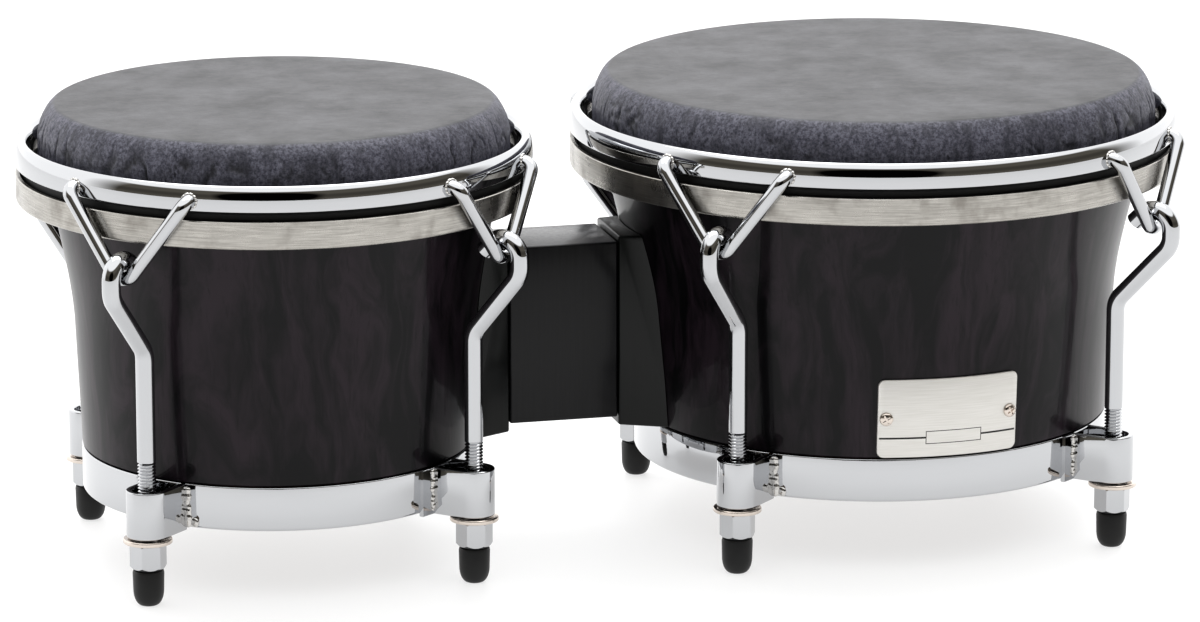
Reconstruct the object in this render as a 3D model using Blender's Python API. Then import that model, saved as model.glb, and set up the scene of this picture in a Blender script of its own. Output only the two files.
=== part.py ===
"""A pair of bongo drums on rubber feet, tuned from below.

Run with: blender --background --python part.py. Metres, +Z up. X runs along the pair, from the small
drum to the large one; the origin is under the middle of the pair, on the floor."""

import math

import bmesh
import bpy
from mathutils import Matrix, Vector

MM = 0.001

# ---------------------------------------------------------------- driving sizes
PAIR_GAP = 20.8 * MM  # between the two rims, where they come nearest
HEAD_RADIUS = {"small": 90.6 * MM, "large": 110.6 * MM}  # over the skin's collar
RING_RADIUS = {"small": 75.6 * MM, "large": 93.5 * MM}  # outside of the bottom ring
TOP = 179.0 * MM  # height of the playing surfaces
GAP = 0.3 * MM  # left between pieces that touch

ROUND = 40  # segments of a drum's turned pieces
SMALL_ROUND = 12  # segments of feet, washers, nuts and bores
ROD_SIDES = 8

# skins and shells
SKIN_THICKNESS = 1.6 * MM
SKIN_EDGE_WIDTH = 7.5 * MM  # how far in the skin starts to round over
SKIN_EDGE_HEIGHT = 13.0 * MM
SKIN_BOTTOM = TOP - 27.5 * MM
SHELL_WALL = 8.0 * MM
SHELL_CLEARANCE = 0.4 * MM  # between the shell's mouth and the skin
SHELL_STRAIGHT_SHARE = 0.4  # share of the shell's flare that is a plain taper
SHELL_FLARE_START = 0.4  # height share at which the bowl starts to open
BEARING_EDGE_WIDTH = 7.0 * MM

# nuts and feet
FOOT_RADIUS = 6.2 * MM
FOOT_HEIGHT = 13.9 * MM
FOOT_FLOOR = 2.6 * MM
FOOT_FLAT = 2.4 * MM  # radius of the flat that stands on the floor
NUT_FLATS = 12.2 * MM
NUT_HEIGHT = 9.8 * MM
WASHER_RADIUS = 9.35 * MM
WASHER_THICKNESS = 2.0 * MM

# bottom ring with its lugs, which stand on the washers
LUG_TO_WASHER = 0.5 * MM
LUG_BOTTOM = FOOT_HEIGHT + GAP + NUT_HEIGHT + GAP + WASHER_THICKNESS + LUG_TO_WASHER
RING_BOTTOM = LUG_BOTTOM + 1.2 * MM
RING_TOP = RING_BOTTOM + 17.0 * MM
RING_THICKNESS = 2.2 * MM
RING_LIP_WIDTH = 6.0 * MM
RING_LIP_THICKNESS = 1.6 * MM
LUG_REACH = 13.6 * MM  # from the ring's face out to the rod's axis
LUG_RADIUS = 8.0 * MM  # outside of the bent strap
LUG_WALL = 2.2 * MM
LUG_TOP = RING_TOP
LUG_SINK = 1.2 * MM  # how far the strap's ends go into the ring

# rim, its welded ears, and the hoop under it
RIM_GAP = 2.8 * MM  # between the skin and the rim
RIM_WIDTH = 5.9 * MM
RIM_BOTTOM = TOP - 23.0 * MM
RIM_HEIGHT = 9.7 * MM
BAND_INSET = 0.3 * MM  # the band is this much smaller than the rim
BAND_BOTTOM = TOP - 37.2 * MM
BAND_HEIGHT = 10.6 * MM
BAND_WALL = 1.6 * MM
BAND_TO_SKIN = 0.8 * MM
HOOP_INSET = 2.2 * MM  # from the rim's outside to the hoop's
EAR_ROD = 5.5 * MM
EAR_HALF_ANGLE = math.radians(37.5)  # between one arm of the ear and the vertical
EAR_WELD_HEIGHT = RIM_BOTTOM + 3.8 * MM
EAR_REACH = 4.0 * MM  # how far the ear stands out from the rim at its elbow
EAR_VERTEX_REACH = 3.6 * MM
EAR_ELBOW_BEND = 4.0 * MM
EAR_VERTEX_BEND = 6.0 * MM

# tension rods
ROD = 7.1 * MM
HOOK_BEND = 7.0 * MM  # radius of the hook, on the rod's centre line
HOOK_HEIGHT = TOP - 50.2 * MM  # centre of the hook's bend
HOOK_TURN = math.radians(135)
HOOK_STUB = 5.0 * MM
JOG_TOP = HOOK_HEIGHT - 6.3 * MM
JOG_BOTTOM = JOG_TOP - 24.5 * MM
JOG_BEND = 9.0 * MM
ROD_END = 7.0 * MM  # lower end, inside the foot
BORE_PLAY = 0.45 * MM  # around the rod in nut, washer and foot

# centre block, its end flanges and the bolts through the shells
BLOCK_DEPTH = 34.0 * MM
BLOCK_BOTTOM = RING_TOP + 3.8 * MM
BLOCK_TOP = TOP - 60.0 * MM
FLANGE_BOTTOM = RING_TOP + 0.6 * MM
FLANGE_TOP = BLOCK_TOP + 2.2 * MM
FLANGE_NECK = {"small": 6.6 * MM, "large": 7.0 * MM}  # least thickness, at the flange's top
FLANGE_FLARE = {"top": 3.0 * MM, "bottom": 9.0 * MM}  # how much wider it is at the shell
BOLT_RADIUS = 3.0 * MM
BOLT_HEAD_FLATS = 10.0 * MM
BOLT_HEAD = 4.0 * MM
BOLT_INTO_BLOCK = 12.0 * MM
BOLT_SHARES = {"lower": 0.245, "upper": 0.744}  # how far up the block the bolts are
BOLT_HEIGHTS = {name: BLOCK_BOTTOM + share * (BLOCK_TOP - BLOCK_BOTTOM) for name, share in BOLT_SHARES.items()}
BOLT_PLAY = 0.3 * MM
PLATE_THICKNESS = 2.0 * MM
PLATE_HALF_WIDTH = 13.0 * MM
PLATE_MARGIN = 10.0 * MM  # beyond the bolts, up and down

# badge
BADGE_ANGLE = math.radians(-88)
BADGE_HALF_WIDTH = 28.5 * MM
BADGE_BOTTOM = RING_TOP + 0.8 * MM
BADGE_TOP = BADGE_BOTTOM + 31.0 * MM
BADGE_THICKNESS = 0.9 * MM
BADGE_CORNER = 2.6 * MM
BADGE_SCREW_IN = 4.0 * MM  # from the badge's side to the screw's axis
SCREW_HEAD_RADIUS = 2.6 * MM
SCREW_HEAD_TOP = 1.8 * MM  # radius of the flat on top of the head
SCREW_HEAD = 1.2 * MM
SCREW_SHANK = 1.3 * MM
SCREW_LENGTH = 5.5 * MM

STATIONS = {"front_left": 225, "front_right": 315, "back_right": 45, "back_left": 135}
DRUMS = ("small", "large")
BLOCK_SIDE = {"small": 1, "large": -1}  # which way along X the centre block lies


# ---------------------------------------------------------------- sizes worked out from those above
def rim_radius(drum):
    return HEAD_RADIUS[drum] + RIM_GAP + RIM_WIDTH


def axis_x(drum):
    """Each drum's axis, with the origin in the middle of the pair's whole length."""
    half_difference = (rim_radius("large") - rim_radius("small")) / 2
    spacing = rim_radius("small") + rim_radius("large") + PAIR_GAP
    return -BLOCK_SIDE[drum] * spacing / 2 - half_difference


def lug_radius(drum):
    return RING_RADIUS[drum] + LUG_REACH


def skin_radius(drum, z):
    """Outside of the skin, rounded over at the top."""
    rise = max(0.0, z - (TOP - SKIN_EDGE_HEIGHT)) / SKIN_EDGE_HEIGHT
    return HEAD_RADIUS[drum] - SKIN_EDGE_WIDTH * (1 - math.sqrt(max(0.0, 1 - rise * rise)))


def shell_mouth(drum):
    return HEAD_RADIUS[drum] - SKIN_THICKNESS - SHELL_CLEARANCE


def shell_radius(drum, z):
    """Outside of the shell above the ring: a slight taper that opens into a bowl."""
    u = min(1.0, max(0.0, (z - RING_TOP) / (TOP - SKIN_EDGE_HEIGHT - RING_TOP)))
    opening = min(1.0, max(0.0, (u - SHELL_FLARE_START) / (1 - SHELL_FLARE_START)))
    smooth = opening * opening * (3 - 2 * opening)
    share = SHELL_STRAIGHT_SHARE * u + (1 - SHELL_STRAIGHT_SHARE) * smooth
    foot = RING_RADIUS[drum] - GAP
    return foot + (shell_mouth(drum) - foot) * share


# ---------------------------------------------------------------- materials
def material(name, rgb, roughness, metallic=0.0):
    made = bpy.data.materials.new(name)
    made.use_nodes = True
    shader = made.node_tree.nodes["Principled BSDF"]
    shader.inputs["Base Color"].default_value = (*rgb, 1)
    shader.inputs["Roughness"].default_value = roughness
    shader.inputs["Metallic"].default_value = metallic
    made.diffuse_color = (*rgb, 1)
    return made


def make_materials():
    return {
        "skin": material("skin", (0.16, 0.16, 0.19), 0.6),
        "lacquer": material("black_lacquer", (0.02, 0.018, 0.02), 0.12),
        "block": material("satin_black_wood", (0.018, 0.018, 0.02), 0.4),
        "chrome": material("chrome", (0.8, 0.8, 0.8), 0.08, 1.0),
        "band": material("brushed_metal", (0.62, 0.6, 0.57), 0.35, 1.0),
        "hoop": material("black_hoop", (0.01, 0.01, 0.01), 0.5),
        "nickel": material("nickel", (0.7, 0.64, 0.54), 0.2, 1.0),
        "zinc": material("zinc_steel", (0.5, 0.5, 0.5), 0.3, 1.0),
        "rubber": material("rubber", (0.012, 0.012, 0.012), 0.6),
        "badge": material("badge_silver", (0.72, 0.71, 0.68), 0.3, 0.6),
    }


# ---------------------------------------------------------------- mesh helpers
def place(name, mesh, mat, parent=None, location=(0, 0, 0), turn=0.0):
    """Puts a bmesh into the scene as the named object."""
    bmesh.ops.recalc_face_normals(mesh, faces=mesh.faces)
    data = bpy.data.meshes.new(name)
    mesh.to_mesh(data)
    mesh.free()
    data.shade_smooth()
    data.set_sharp_from_angle(angle=math.radians(35))
    if mat is not None:
        data.materials.append(mat)
    obj = bpy.data.objects.new(name, data)
    bpy.context.scene.collection.objects.link(obj)
    obj.parent = parent
    obj.location = location
    obj.rotation_euler = (0, 0, turn)
    return obj


def turned(outline, segments=ROUND):
    """Spins a closed outline of (radius, height) points about Z. Two of its points may lie on the axis."""
    mesh = bmesh.new()
    verts = [mesh.verts.new((radius, 0, height)) for radius, height in outline]
    on_axis = [radius == 0 for radius, _ in outline]
    edges = [
        mesh.edges.new((verts[i], verts[i - 1]))
        for i in range(len(verts))
        if not (on_axis[i] and on_axis[i - 1])
    ]
    bmesh.ops.spin(
        mesh, geom=verts + edges, cent=(0, 0, 0), axis=(0, 0, 1), angle=math.tau, steps=segments,
        use_merge=True,
    )
    bmesh.ops.remove_doubles(mesh, verts=mesh.verts, dist=1e-6)
    return mesh


def loft(levels):
    """Joins rings of points, one after another, into a solid with flat ends."""
    mesh = bmesh.new()
    rings = [[mesh.verts.new(point) for point in level] for level in levels]
    for low, high in zip(rings, rings[1:]):
        for i in range(len(low)):
            mesh.faces.new((low[i - 1], low[i], high[i], high[i - 1]))
    mesh.faces.new(rings[0][::-1])
    mesh.faces.new(rings[-1])
    return mesh


def bent(points, bends):
    """The path through the points, with each inner corner rounded to the radius given for it."""
    path = [Vector(points[0])]
    for before, corner, after, radius in zip(points, points[1:], points[2:], bends):
        corner = Vector(corner)
        back = (Vector(before) - corner).normalized()
        ahead = (Vector(after) - corner).normalized()
        half = back.angle(ahead) / 2
        centre = corner + (back + ahead).normalized() * radius / math.sin(half)
        start = (corner + back * radius / math.tan(half) - centre).normalized()
        end = (corner + ahead * radius / math.tan(half) - centre).normalized()
        steps = max(2, round(start.angle(end) / math.radians(28)))
        path += [centre + start.slerp(end, i / steps) * radius for i in range(steps + 1)]
    path.append(Vector(points[-1]))
    return path


def swept(path, radius, sides=ROD_SIDES):
    """A round rod along a path, square-cut at both ends."""
    levels = []
    across = None
    for i, point in enumerate(path):
        before = (point - path[i - 1]).normalized() if i else None
        after = (path[i + 1] - point).normalized() if i + 1 < len(path) else before
        before = before or after
        along = (before + after).normalized()
        if across is None:
            across = along.orthogonal().normalized()
        across = (across - along * across.dot(along)).normalized()
        other = along.cross(across)
        widen = 1 / max(0.5, along.dot(before))
        side = before.cross(after)
        level = []
        for k in range(sides):
            angle = math.tau * (k + 0.5) / sides
            spoke = across * math.cos(angle) + other * math.sin(angle)
            if side.length > 1e-6:
                outward = along.cross(side.normalized())
                spoke += outward * spoke.dot(outward) * (widen - 1)
            level.append(point + spoke * radius)
        levels.append(level)
    return loft(levels)


def hexagonal(flats, bore, bottom, height):
    """A hexagonal ring or, with no bore, a hexagonal bar, about Z."""
    outside = []
    inside = []
    for k in range(SMALL_ROUND):
        angle = math.tau * k / SMALL_ROUND
        reach = flats / 2 / math.cos(math.radians(30)) if k % 2 == 0 else flats / 2
        outside.append(Vector((reach * math.cos(angle), reach * math.sin(angle), bottom)))
        inside.append(Vector((bore * math.cos(angle), bore * math.sin(angle), bottom)))
    up = Vector((0, 0, height))
    if not bore:
        return loft([outside, [point + up for point in outside]])
    mesh = bmesh.new()
    rings = [
        [mesh.verts.new(point) for point in ring]
        for ring in (inside, outside, [p + up for p in outside], [p + up for p in inside])
    ]
    for low, high in zip(rings, rings[1:] + rings[:1]):
        for i in range(SMALL_ROUND):
            mesh.faces.new((low[i - 1], low[i], high[i], high[i - 1]))
    return mesh


def spaced_angles(sine, columns):
    """Evenly spaced angles, from the one with minus this sine to the one with this sine."""
    half_angle = math.asin(sine)
    return [half_angle * (2 * k / columns - 1) for k in range(columns + 1)]


def curved_plate(radius_at, thickness, half_width, bottom, top, middle_angle, rows=3, columns=6):
    """A plate that lies on a turned surface, between two heights."""
    levels = []
    for row in range(rows + 1):
        z = bottom + (top - bottom) * row / rows
        near = radius_at(z)
        angles = [middle_angle + a for a in spaced_angles(half_width / near, columns)]
        inner = [(near * math.cos(a), near * math.sin(a), z) for a in angles]
        far = near + thickness
        outer = [(far * math.cos(a), far * math.sin(a), z) for a in reversed(angles)]
        levels.append(inner + outer)
    return loft(levels)


def boolean(target, other, operation):
    """Joins a helper to a piece, or cuts it away. The helper isn't a piece of the drums."""
    other.hide_render = True
    other.display_type = "WIRE"
    step = target.modifiers.new(f"{operation.lower()}_{other.name}", "BOOLEAN")
    step.operation = operation
    step.solver = "EXACT"
    step.object = other


def copied(mesh, matrices):
    """One bmesh that holds a copy of the given one at each matrix."""
    data = bpy.data.meshes.new("helper")
    mesh.to_mesh(data)
    mesh.free()
    together = bmesh.new()
    for matrix in matrices:
        data.transform(matrix)
        together.from_mesh(data)
        data.transform(matrix.inverted())
    bpy.data.meshes.remove(data)
    return together


def around(radius=0.0):
    """One matrix for each of a drum's four stations, at the given distance from its axis."""
    return [
        Matrix.Rotation(math.radians(angle), 4, "Z") @ Matrix.Translation((radius, 0, 0))
        for angle in STATIONS.values()
    ]


# ---------------------------------------------------------------- the drums' turned pieces
def shell_outline(drum):
    ring_inside = RING_RADIUS[drum] - RING_THICKNESS - GAP
    foot = RING_BOTTOM + RING_LIP_THICKNESS + GAP
    mouth_height = TOP - SKIN_EDGE_HEIGHT
    edge_top = TOP - SKIN_THICKNESS - GAP
    seat = RING_TOP + GAP
    heights = [seat + (mouth_height - seat) * share for share in (0, 0.3, 0.48, 0.64, 0.82, 1)]
    outside = [(ring_inside, foot), (ring_inside, heights[0])]
    outside += [(shell_radius(drum, z), z) for z in heights]
    for turn in (30, 60, 90):
        share = math.sin(math.radians(turn))
        inward = BEARING_EDGE_WIDTH * (1 - math.cos(math.radians(turn)))
        outside.append((shell_mouth(drum) - inward, mouth_height + (edge_top - mouth_height) * share))
    inside = [(shell_mouth(drum) - SHELL_WALL, edge_top)]
    for z in (mouth_height, heights[3], heights[1], RING_TOP):
        inside.append((shell_radius(drum, z) - SHELL_WALL, z))
    return outside + inside + [(inside[-1][0], foot)]


def skin_outline(drum):
    rises = [math.sin(math.radians(turn)) for turn in (0, 30, 60, 82)]
    heights = [TOP - SKIN_EDGE_HEIGHT * (1 - rise) for rise in rises]
    outside = [(HEAD_RADIUS[drum], SKIN_BOTTOM)] + [(skin_radius(drum, z), z) for z in heights]
    outside += [(HEAD_RADIUS[drum] - SKIN_EDGE_WIDTH, TOP), (0, TOP)]
    inside = [(0, TOP - SKIN_THICKNESS), (HEAD_RADIUS[drum] - SKIN_EDGE_WIDTH, TOP - SKIN_THICKNESS)]
    inside += [(skin_radius(drum, z) - SKIN_THICKNESS, z - SKIN_THICKNESS / 2) for z in heights[2::-1]]
    return outside + inside + [(HEAD_RADIUS[drum] - SKIN_THICKNESS, SKIN_BOTTOM)]


def rim_outline(drum):
    outer = rim_radius(drum)
    inner = outer - RIM_WIDTH
    top = RIM_BOTTOM + RIM_HEIGHT
    crown = RIM_WIDTH / 2
    outline = [(inner, RIM_BOTTOM), (outer, RIM_BOTTOM)]
    for turn in (0, 45, 90, 135, 180):
        across = crown * math.cos(math.radians(turn))
        up = crown * math.sin(math.radians(turn))
        outline.append((outer - crown + across, top - crown + up))
    return outline


def band_outline(drum):
    outer = rim_radius(drum) - BAND_INSET
    inner = HEAD_RADIUS[drum] + BAND_TO_SKIN
    top = BAND_BOTTOM + BAND_HEIGHT
    floor = BAND_BOTTOM + BAND_WALL
    return [
        (inner, BAND_BOTTOM), (outer, BAND_BOTTOM), (outer, top), (outer - BAND_WALL, top),
        (outer - BAND_WALL, floor), (inner + BAND_WALL, floor), (inner + BAND_WALL, top), (inner, top),
    ]


def hoop_outline(drum):
    inner = HEAD_RADIUS[drum] + BAND_TO_SKIN + BAND_WALL + GAP
    outer = rim_radius(drum) - HOOP_INSET
    low = BAND_BOTTOM + BAND_WALL + GAP
    high = RIM_BOTTOM - GAP
    return [(inner, low), (outer, low), (outer, high), (inner, high)]


def ring_outline(drum):
    outer = RING_RADIUS[drum]
    inner = outer - RING_THICKNESS
    lip_top = RING_BOTTOM + RING_LIP_THICKNESS
    return [
        (inner - RING_LIP_WIDTH, RING_BOTTOM), (outer, RING_BOTTOM), (outer, RING_TOP),
        (inner, RING_TOP), (inner, lip_top), (inner - RING_LIP_WIDTH, lip_top),
    ]


# ---------------------------------------------------------------- ears, lugs, rods and feet
def ear_corner_height():
    """Where the ear's arms would meet: they hang by their inner sides from the rod's hook."""
    return HOOK_HEIGHT + HOOK_BEND - (ROD / 2 + EAR_ROD / 2 + GAP) / math.sin(EAR_HALF_ANGLE)


def ear(drum):
    """A rod bent to a V, welded to the rim by both ends. X points out of the drum."""
    half_width = (EAR_WELD_HEIGHT - ear_corner_height()) * math.tan(EAR_HALF_ANGLE)
    spread = math.asin(half_width / (rim_radius(drum) + EAR_REACH))
    corner = (rim_radius(drum) + EAR_VERTEX_REACH, 0, ear_corner_height())

    def on_rim(side, reach):
        radius = rim_radius(drum) + reach
        return (radius * math.cos(spread), side * radius * math.sin(spread), EAR_WELD_HEIGHT)

    sunk = -RIM_WIDTH / 3
    points = [on_rim(-1, sunk), on_rim(-1, EAR_REACH), corner, on_rim(1, EAR_REACH), on_rim(1, sunk)]
    return swept(bent(points, (EAR_ELBOW_BEND, EAR_VERTEX_BEND, EAR_ELBOW_BEND)), EAR_ROD / 2)


def lug(drum):
    """A strap bent round the rod, welded to the ring by both ends. X points out, from the rod's axis."""
    back = -LUG_REACH - LUG_SINK

    def bow(radius):
        turns = [math.radians(-90 + 180 * k / 6) for k in range(7)]
        return [(radius * math.cos(turn), radius * math.sin(turn)) for turn in turns]

    outside = [(back, -LUG_RADIUS)] + bow(LUG_RADIUS) + [(back, LUG_RADIUS)]
    inner = LUG_RADIUS - LUG_WALL
    inside = [(back, inner)] + bow(inner)[::-1] + [(back, -inner)]
    outline = outside + inside
    mesh = bmesh.new()
    face = mesh.faces.new([mesh.verts.new((x, y, LUG_BOTTOM)) for x, y in outline])
    grown = bmesh.ops.extrude_face_region(mesh, geom=[face])["geom"]
    raised = [item for item in grown if isinstance(item, bmesh.types.BMVert)]
    bmesh.ops.translate(mesh, verts=raised, vec=(0, 0, LUG_TOP - LUG_BOTTOM))
    bmesh.ops.triangulate(mesh, faces=[f for f in mesh.faces if len(f.verts) > 4])
    return mesh


def tension_rod(drum):
    """Hook over the ear, jog inwards, then straight down through lug, washer and nut. X points out."""
    hook_x = rim_radius(drum) + EAR_VERTEX_REACH - lug_radius(drum)
    outer_x = hook_x + HOOK_BEND
    straight = [(0, 0, ROD_END), (0, 0, JOG_BOTTOM), (outer_x, 0, JOG_TOP), (outer_x, 0, HOOK_HEIGHT)]
    path = bent(straight, (JOG_BEND, JOG_BEND))[:-1]
    steps = 6
    for k in range(steps + 1):
        turn = HOOK_TURN * k / steps
        spoke = Vector((math.cos(turn), 0, math.sin(turn))) * HOOK_BEND
        path.append(Vector((hook_x, 0, HOOK_HEIGHT)) + spoke)
    path.append(path[-1] + Vector((-math.sin(HOOK_TURN), 0, math.cos(HOOK_TURN))) * HOOK_STUB)
    return swept(path, ROD / 2)


def bore_radius():
    """The corners of a bore's polygon stand this far from the rod's axis."""
    return ROD / 2 + BORE_PLAY


def foot():
    bore = bore_radius()
    outline = [(0, 0), (FOOT_FLAT, 0)]
    round_height = FOOT_RADIUS
    for turn in (35, 65, 90):
        angle = math.radians(turn)
        out = FOOT_FLAT + (FOOT_RADIUS - FOOT_FLAT) * math.sin(angle)
        outline.append((out, round_height * (1 - math.cos(angle))))
    outline += [(FOOT_RADIUS, FOOT_HEIGHT), (bore, FOOT_HEIGHT), (bore, FOOT_FLOOR), (0, FOOT_FLOOR)]
    return turned(outline, SMALL_ROUND)


def washer():
    bottom = FOOT_HEIGHT + GAP + NUT_HEIGHT + GAP
    top = bottom + WASHER_THICKNESS
    bore = bore_radius()
    return turned([(bore, bottom), (WASHER_RADIUS, bottom), (WASHER_RADIUS, top), (bore, top)], SMALL_ROUND)


def make_drum(drum, mats):
    """One drum. Its empty stands on its axis, on the floor."""
    centre = bpy.data.objects.new(f"{drum}_drum_axis", None)
    centre.location = (axis_x(drum), 0, 0)
    bpy.context.scene.collection.objects.link(centre)

    shell = place(f"{drum}_shell", turned(shell_outline(drum)), mats["lacquer"], centre)
    place(f"{drum}_head_skin", turned(skin_outline(drum)), mats["skin"], centre)
    place(f"{drum}_flesh_hoop", turned(hoop_outline(drum)), mats["hoop"], centre)
    place(f"{drum}_hoop_band", turned(band_outline(drum)), mats["band"], centre)

    rim = place(f"{drum}_rim", turned(rim_outline(drum)), mats["chrome"], centre)
    ears = place(f"{drum}_ears", copied(ear(drum), around()), mats["chrome"], centre)
    boolean(rim, ears, "UNION")

    ring = place(f"{drum}_bottom_ring", turned(ring_outline(drum)), mats["chrome"], centre)
    lugs = place(f"{drum}_lugs", copied(lug(drum), around(lug_radius(drum))), mats["chrome"], centre)
    boolean(ring, lugs, "UNION")

    for station, degrees in STATIONS.items():
        turn = math.radians(degrees)
        at = (lug_radius(drum) * math.cos(turn), lug_radius(drum) * math.sin(turn), 0)
        nut = hexagonal(NUT_FLATS, bore_radius(), FOOT_HEIGHT + GAP, NUT_HEIGHT)
        place(f"{drum}_rod_{station}", tension_rod(drum), mats["chrome"], centre, at, turn)
        place(f"{drum}_washer_{station}", washer(), mats["nickel"], centre, at, turn)
        place(f"{drum}_nut_{station}", nut, mats["chrome"], centre, at, turn)
        place(f"{drum}_foot_{station}", foot(), mats["rubber"], centre, at, turn)
    return centre, shell


# ---------------------------------------------------------------- centre block and what bolts it up
def flange_face_x(drum):
    """Where the flange meets the block, in from the drum's axis."""
    return shell_radius(drum, FLANGE_TOP) + GAP + FLANGE_NECK[drum]


def flange(drum):
    """An end flange in its drum's own axes: flat towards the block, hollowed to the shell."""
    levels = []
    side = BLOCK_SIDE[drum]
    rows = 4
    columns = 6
    for row in range(rows + 1):
        share = row / rows
        z = FLANGE_BOTTOM + (FLANGE_TOP - FLANGE_BOTTOM) * share
        flare = FLANGE_FLARE["bottom"] + (FLANGE_FLARE["top"] - FLANGE_FLARE["bottom"]) * share
        half = BLOCK_DEPTH / 2 + flare
        # the shell's sides are flats between its corners, so a flange point clears them by the gap
        near = shell_radius(drum, z) + GAP
        hug = [(near * math.cos(a), near * math.sin(a)) for a in spaced_angles(half / near, columns)]
        face = [(flange_face_x(drum), sign * BLOCK_DEPTH / 2) for sign in (-1, 1)]
        outline = face + hug[::-1]
        levels.append([(side * x, y, z) for x, y in outline])
    return loft(levels)


def along_x(mesh, location, side):
    """Turns a mesh built about Z so that its Z runs along X, towards the block."""
    turn = Matrix.Rotation(side * math.radians(90), 4, "Y")
    bmesh.ops.transform(mesh, matrix=Matrix.Translation(location) @ turn, verts=mesh.verts)
    return mesh


def bolt_head_radius():
    return BOLT_HEAD_FLATS / 2 / math.cos(math.radians(30))


def bolt(length):
    """A hexagon-headed bolt about Z, with the underside of its head at zero."""
    head = bolt_head_radius()
    outline = [(0, -BOLT_HEAD), (head, -BOLT_HEAD), (head, 0)]
    outline += [(BOLT_RADIUS, 0), (BOLT_RADIUS, length), (0, length)]
    return turned(outline, 6)


def plate_radius(drum, z):
    """Inside of the backing plate, which clears the flats of the shell's many-sided inner wall."""
    return (shell_radius(drum, z) - SHELL_WALL) * math.cos(math.pi / ROUND) - GAP - PLATE_THICKNESS


def bolt_seat(drum, z):
    """How far out from the drum's axis the bolt's head seats inside the backing plate's curve."""
    reach = bolt_head_radius()
    inside = min(plate_radius(drum, z - reach), plate_radius(drum, z + reach)) - GAP
    return math.sqrt(inside * inside - reach * reach)


def backing_plate(drum):
    """A curved washer plate inside the shell, under the heads of both block bolts. Drum's own axes."""
    def inside_at(z):
        return plate_radius(drum, z)

    low = BOLT_HEIGHTS["lower"] - PLATE_MARGIN
    high = BOLT_HEIGHTS["upper"] + PLATE_MARGIN
    towards_block = 0 if BLOCK_SIDE[drum] > 0 else math.pi
    return curved_plate(inside_at, PLATE_THICKNESS, PLATE_HALF_WIDTH, low, high, towards_block)


def make_block(centres, shells, mats):
    inner = {drum: axis_x(drum) + BLOCK_SIDE[drum] * (flange_face_x(drum) + GAP) for drum in DRUMS}
    half = BLOCK_DEPTH / 2
    left, right = inner["small"], inner["large"]
    outline = [(left, -half), (right, -half), (right, half), (left, half)]
    levels = [[(x, y, z) for x, y in outline] for z in (BLOCK_BOTTOM, BLOCK_TOP)]
    block = place("centre_block", loft(levels), mats["block"])
    for drum in DRUMS:
        side = BLOCK_SIDE[drum]
        flanged = place(f"{drum}_flange", flange(drum), mats["block"], centres[drum])
        plate = place(f"{drum}_backing_plate", backing_plate(drum), mats["zinc"], centres[drum])

        holes = bmesh.new()
        for place_name, z in BOLT_HEIGHTS.items():
            seat = bolt_seat(drum, z)
            length = flange_face_x(drum) + GAP + BOLT_INTO_BLOCK - seat
            start = (side * seat, 0, z)
            fixing = along_x(bolt(length), start, side)
            place(f"{drum}_block_bolt_{place_name}", fixing, mats["zinc"], centres[drum])
            hole = bmesh.ops.create_cone(
                holes, cap_ends=True, segments=SMALL_ROUND, radius1=BOLT_RADIUS + BOLT_PLAY,
                radius2=BOLT_RADIUS + BOLT_PLAY, depth=2 * (length + BOLT_PLAY),
            )["verts"]
            turn = Matrix.Translation(start) @ Matrix.Rotation(math.radians(90), 4, "Y")
            bmesh.ops.transform(holes, matrix=turn, verts=hole)
        cutter = place(f"{drum}_bolt_holes", holes, None, centres[drum])
        for piece in (flanged, plate, shells[drum], block):
            boolean(piece, cutter, "DIFFERENCE")


# ---------------------------------------------------------------- badge
def make_badge(centre, shell, mats):
    def surface(z):
        return shell_radius("large", z) + GAP

    size = (BADGE_THICKNESS, BADGE_HALF_WIDTH, BADGE_BOTTOM, BADGE_TOP)
    mesh = curved_plate(surface, *size, BADGE_ANGLE, rows=4, columns=8)
    corners = [
        edge for edge in mesh.edges
        if abs(edge.calc_length() - BADGE_THICKNESS) < GAP / 10
        and all(min(abs(v.co.z - BADGE_BOTTOM), abs(v.co.z - BADGE_TOP)) < GAP for v in edge.verts)
        and len(edge.link_faces) == 2
    ]
    bmesh.ops.bevel(mesh, geom=corners, offset=BADGE_CORNER, segments=3, profile=0.5, affect="EDGES")
    badge = place("badge_plate", mesh, mats["badge"], centre)

    middle = (BADGE_BOTTOM + BADGE_TOP) / 2
    out = surface(middle) + BADGE_THICKNESS
    spread = math.asin((BADGE_HALF_WIDTH - BADGE_SCREW_IN) / out)
    holes = bmesh.new()
    for side, sign in (("left", -1), ("right", 1)):
        turn = BADGE_ANGLE + sign * spread
        under_head = out + GAP
        tip = under_head - SCREW_LENGTH
        outline = [
            (0, tip), (SCREW_SHANK, tip), (SCREW_SHANK, under_head),
            (SCREW_HEAD_RADIUS, under_head), (SCREW_HEAD_TOP, under_head + SCREW_HEAD),
            (0, under_head + SCREW_HEAD),
        ]
        screw = turned(outline, SMALL_ROUND)
        lay = Matrix.Rotation(turn, 4, "Z") @ Matrix.Rotation(math.radians(90), 4, "Y")
        lay = Matrix.Translation((0, 0, middle)) @ lay
        bmesh.ops.transform(screw, matrix=lay, verts=screw.verts)
        place(f"badge_screw_{side}", screw, mats["nickel"], centre)
        radius = SCREW_SHANK + GAP
        hole = bmesh.ops.create_cone(
            holes, cap_ends=True, segments=SMALL_ROUND, radius1=radius, radius2=radius,
            depth=2 * (SCREW_LENGTH + GAP),
        )["verts"]
        at_head = lay @ Matrix.Translation((0, 0, under_head))
        bmesh.ops.transform(holes, matrix=at_head, verts=hole)
    cutter = place("badge_screw_holes", holes, None, centre)
    for piece in (badge, shell):
        boolean(piece, cutter, "DIFFERENCE")


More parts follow.
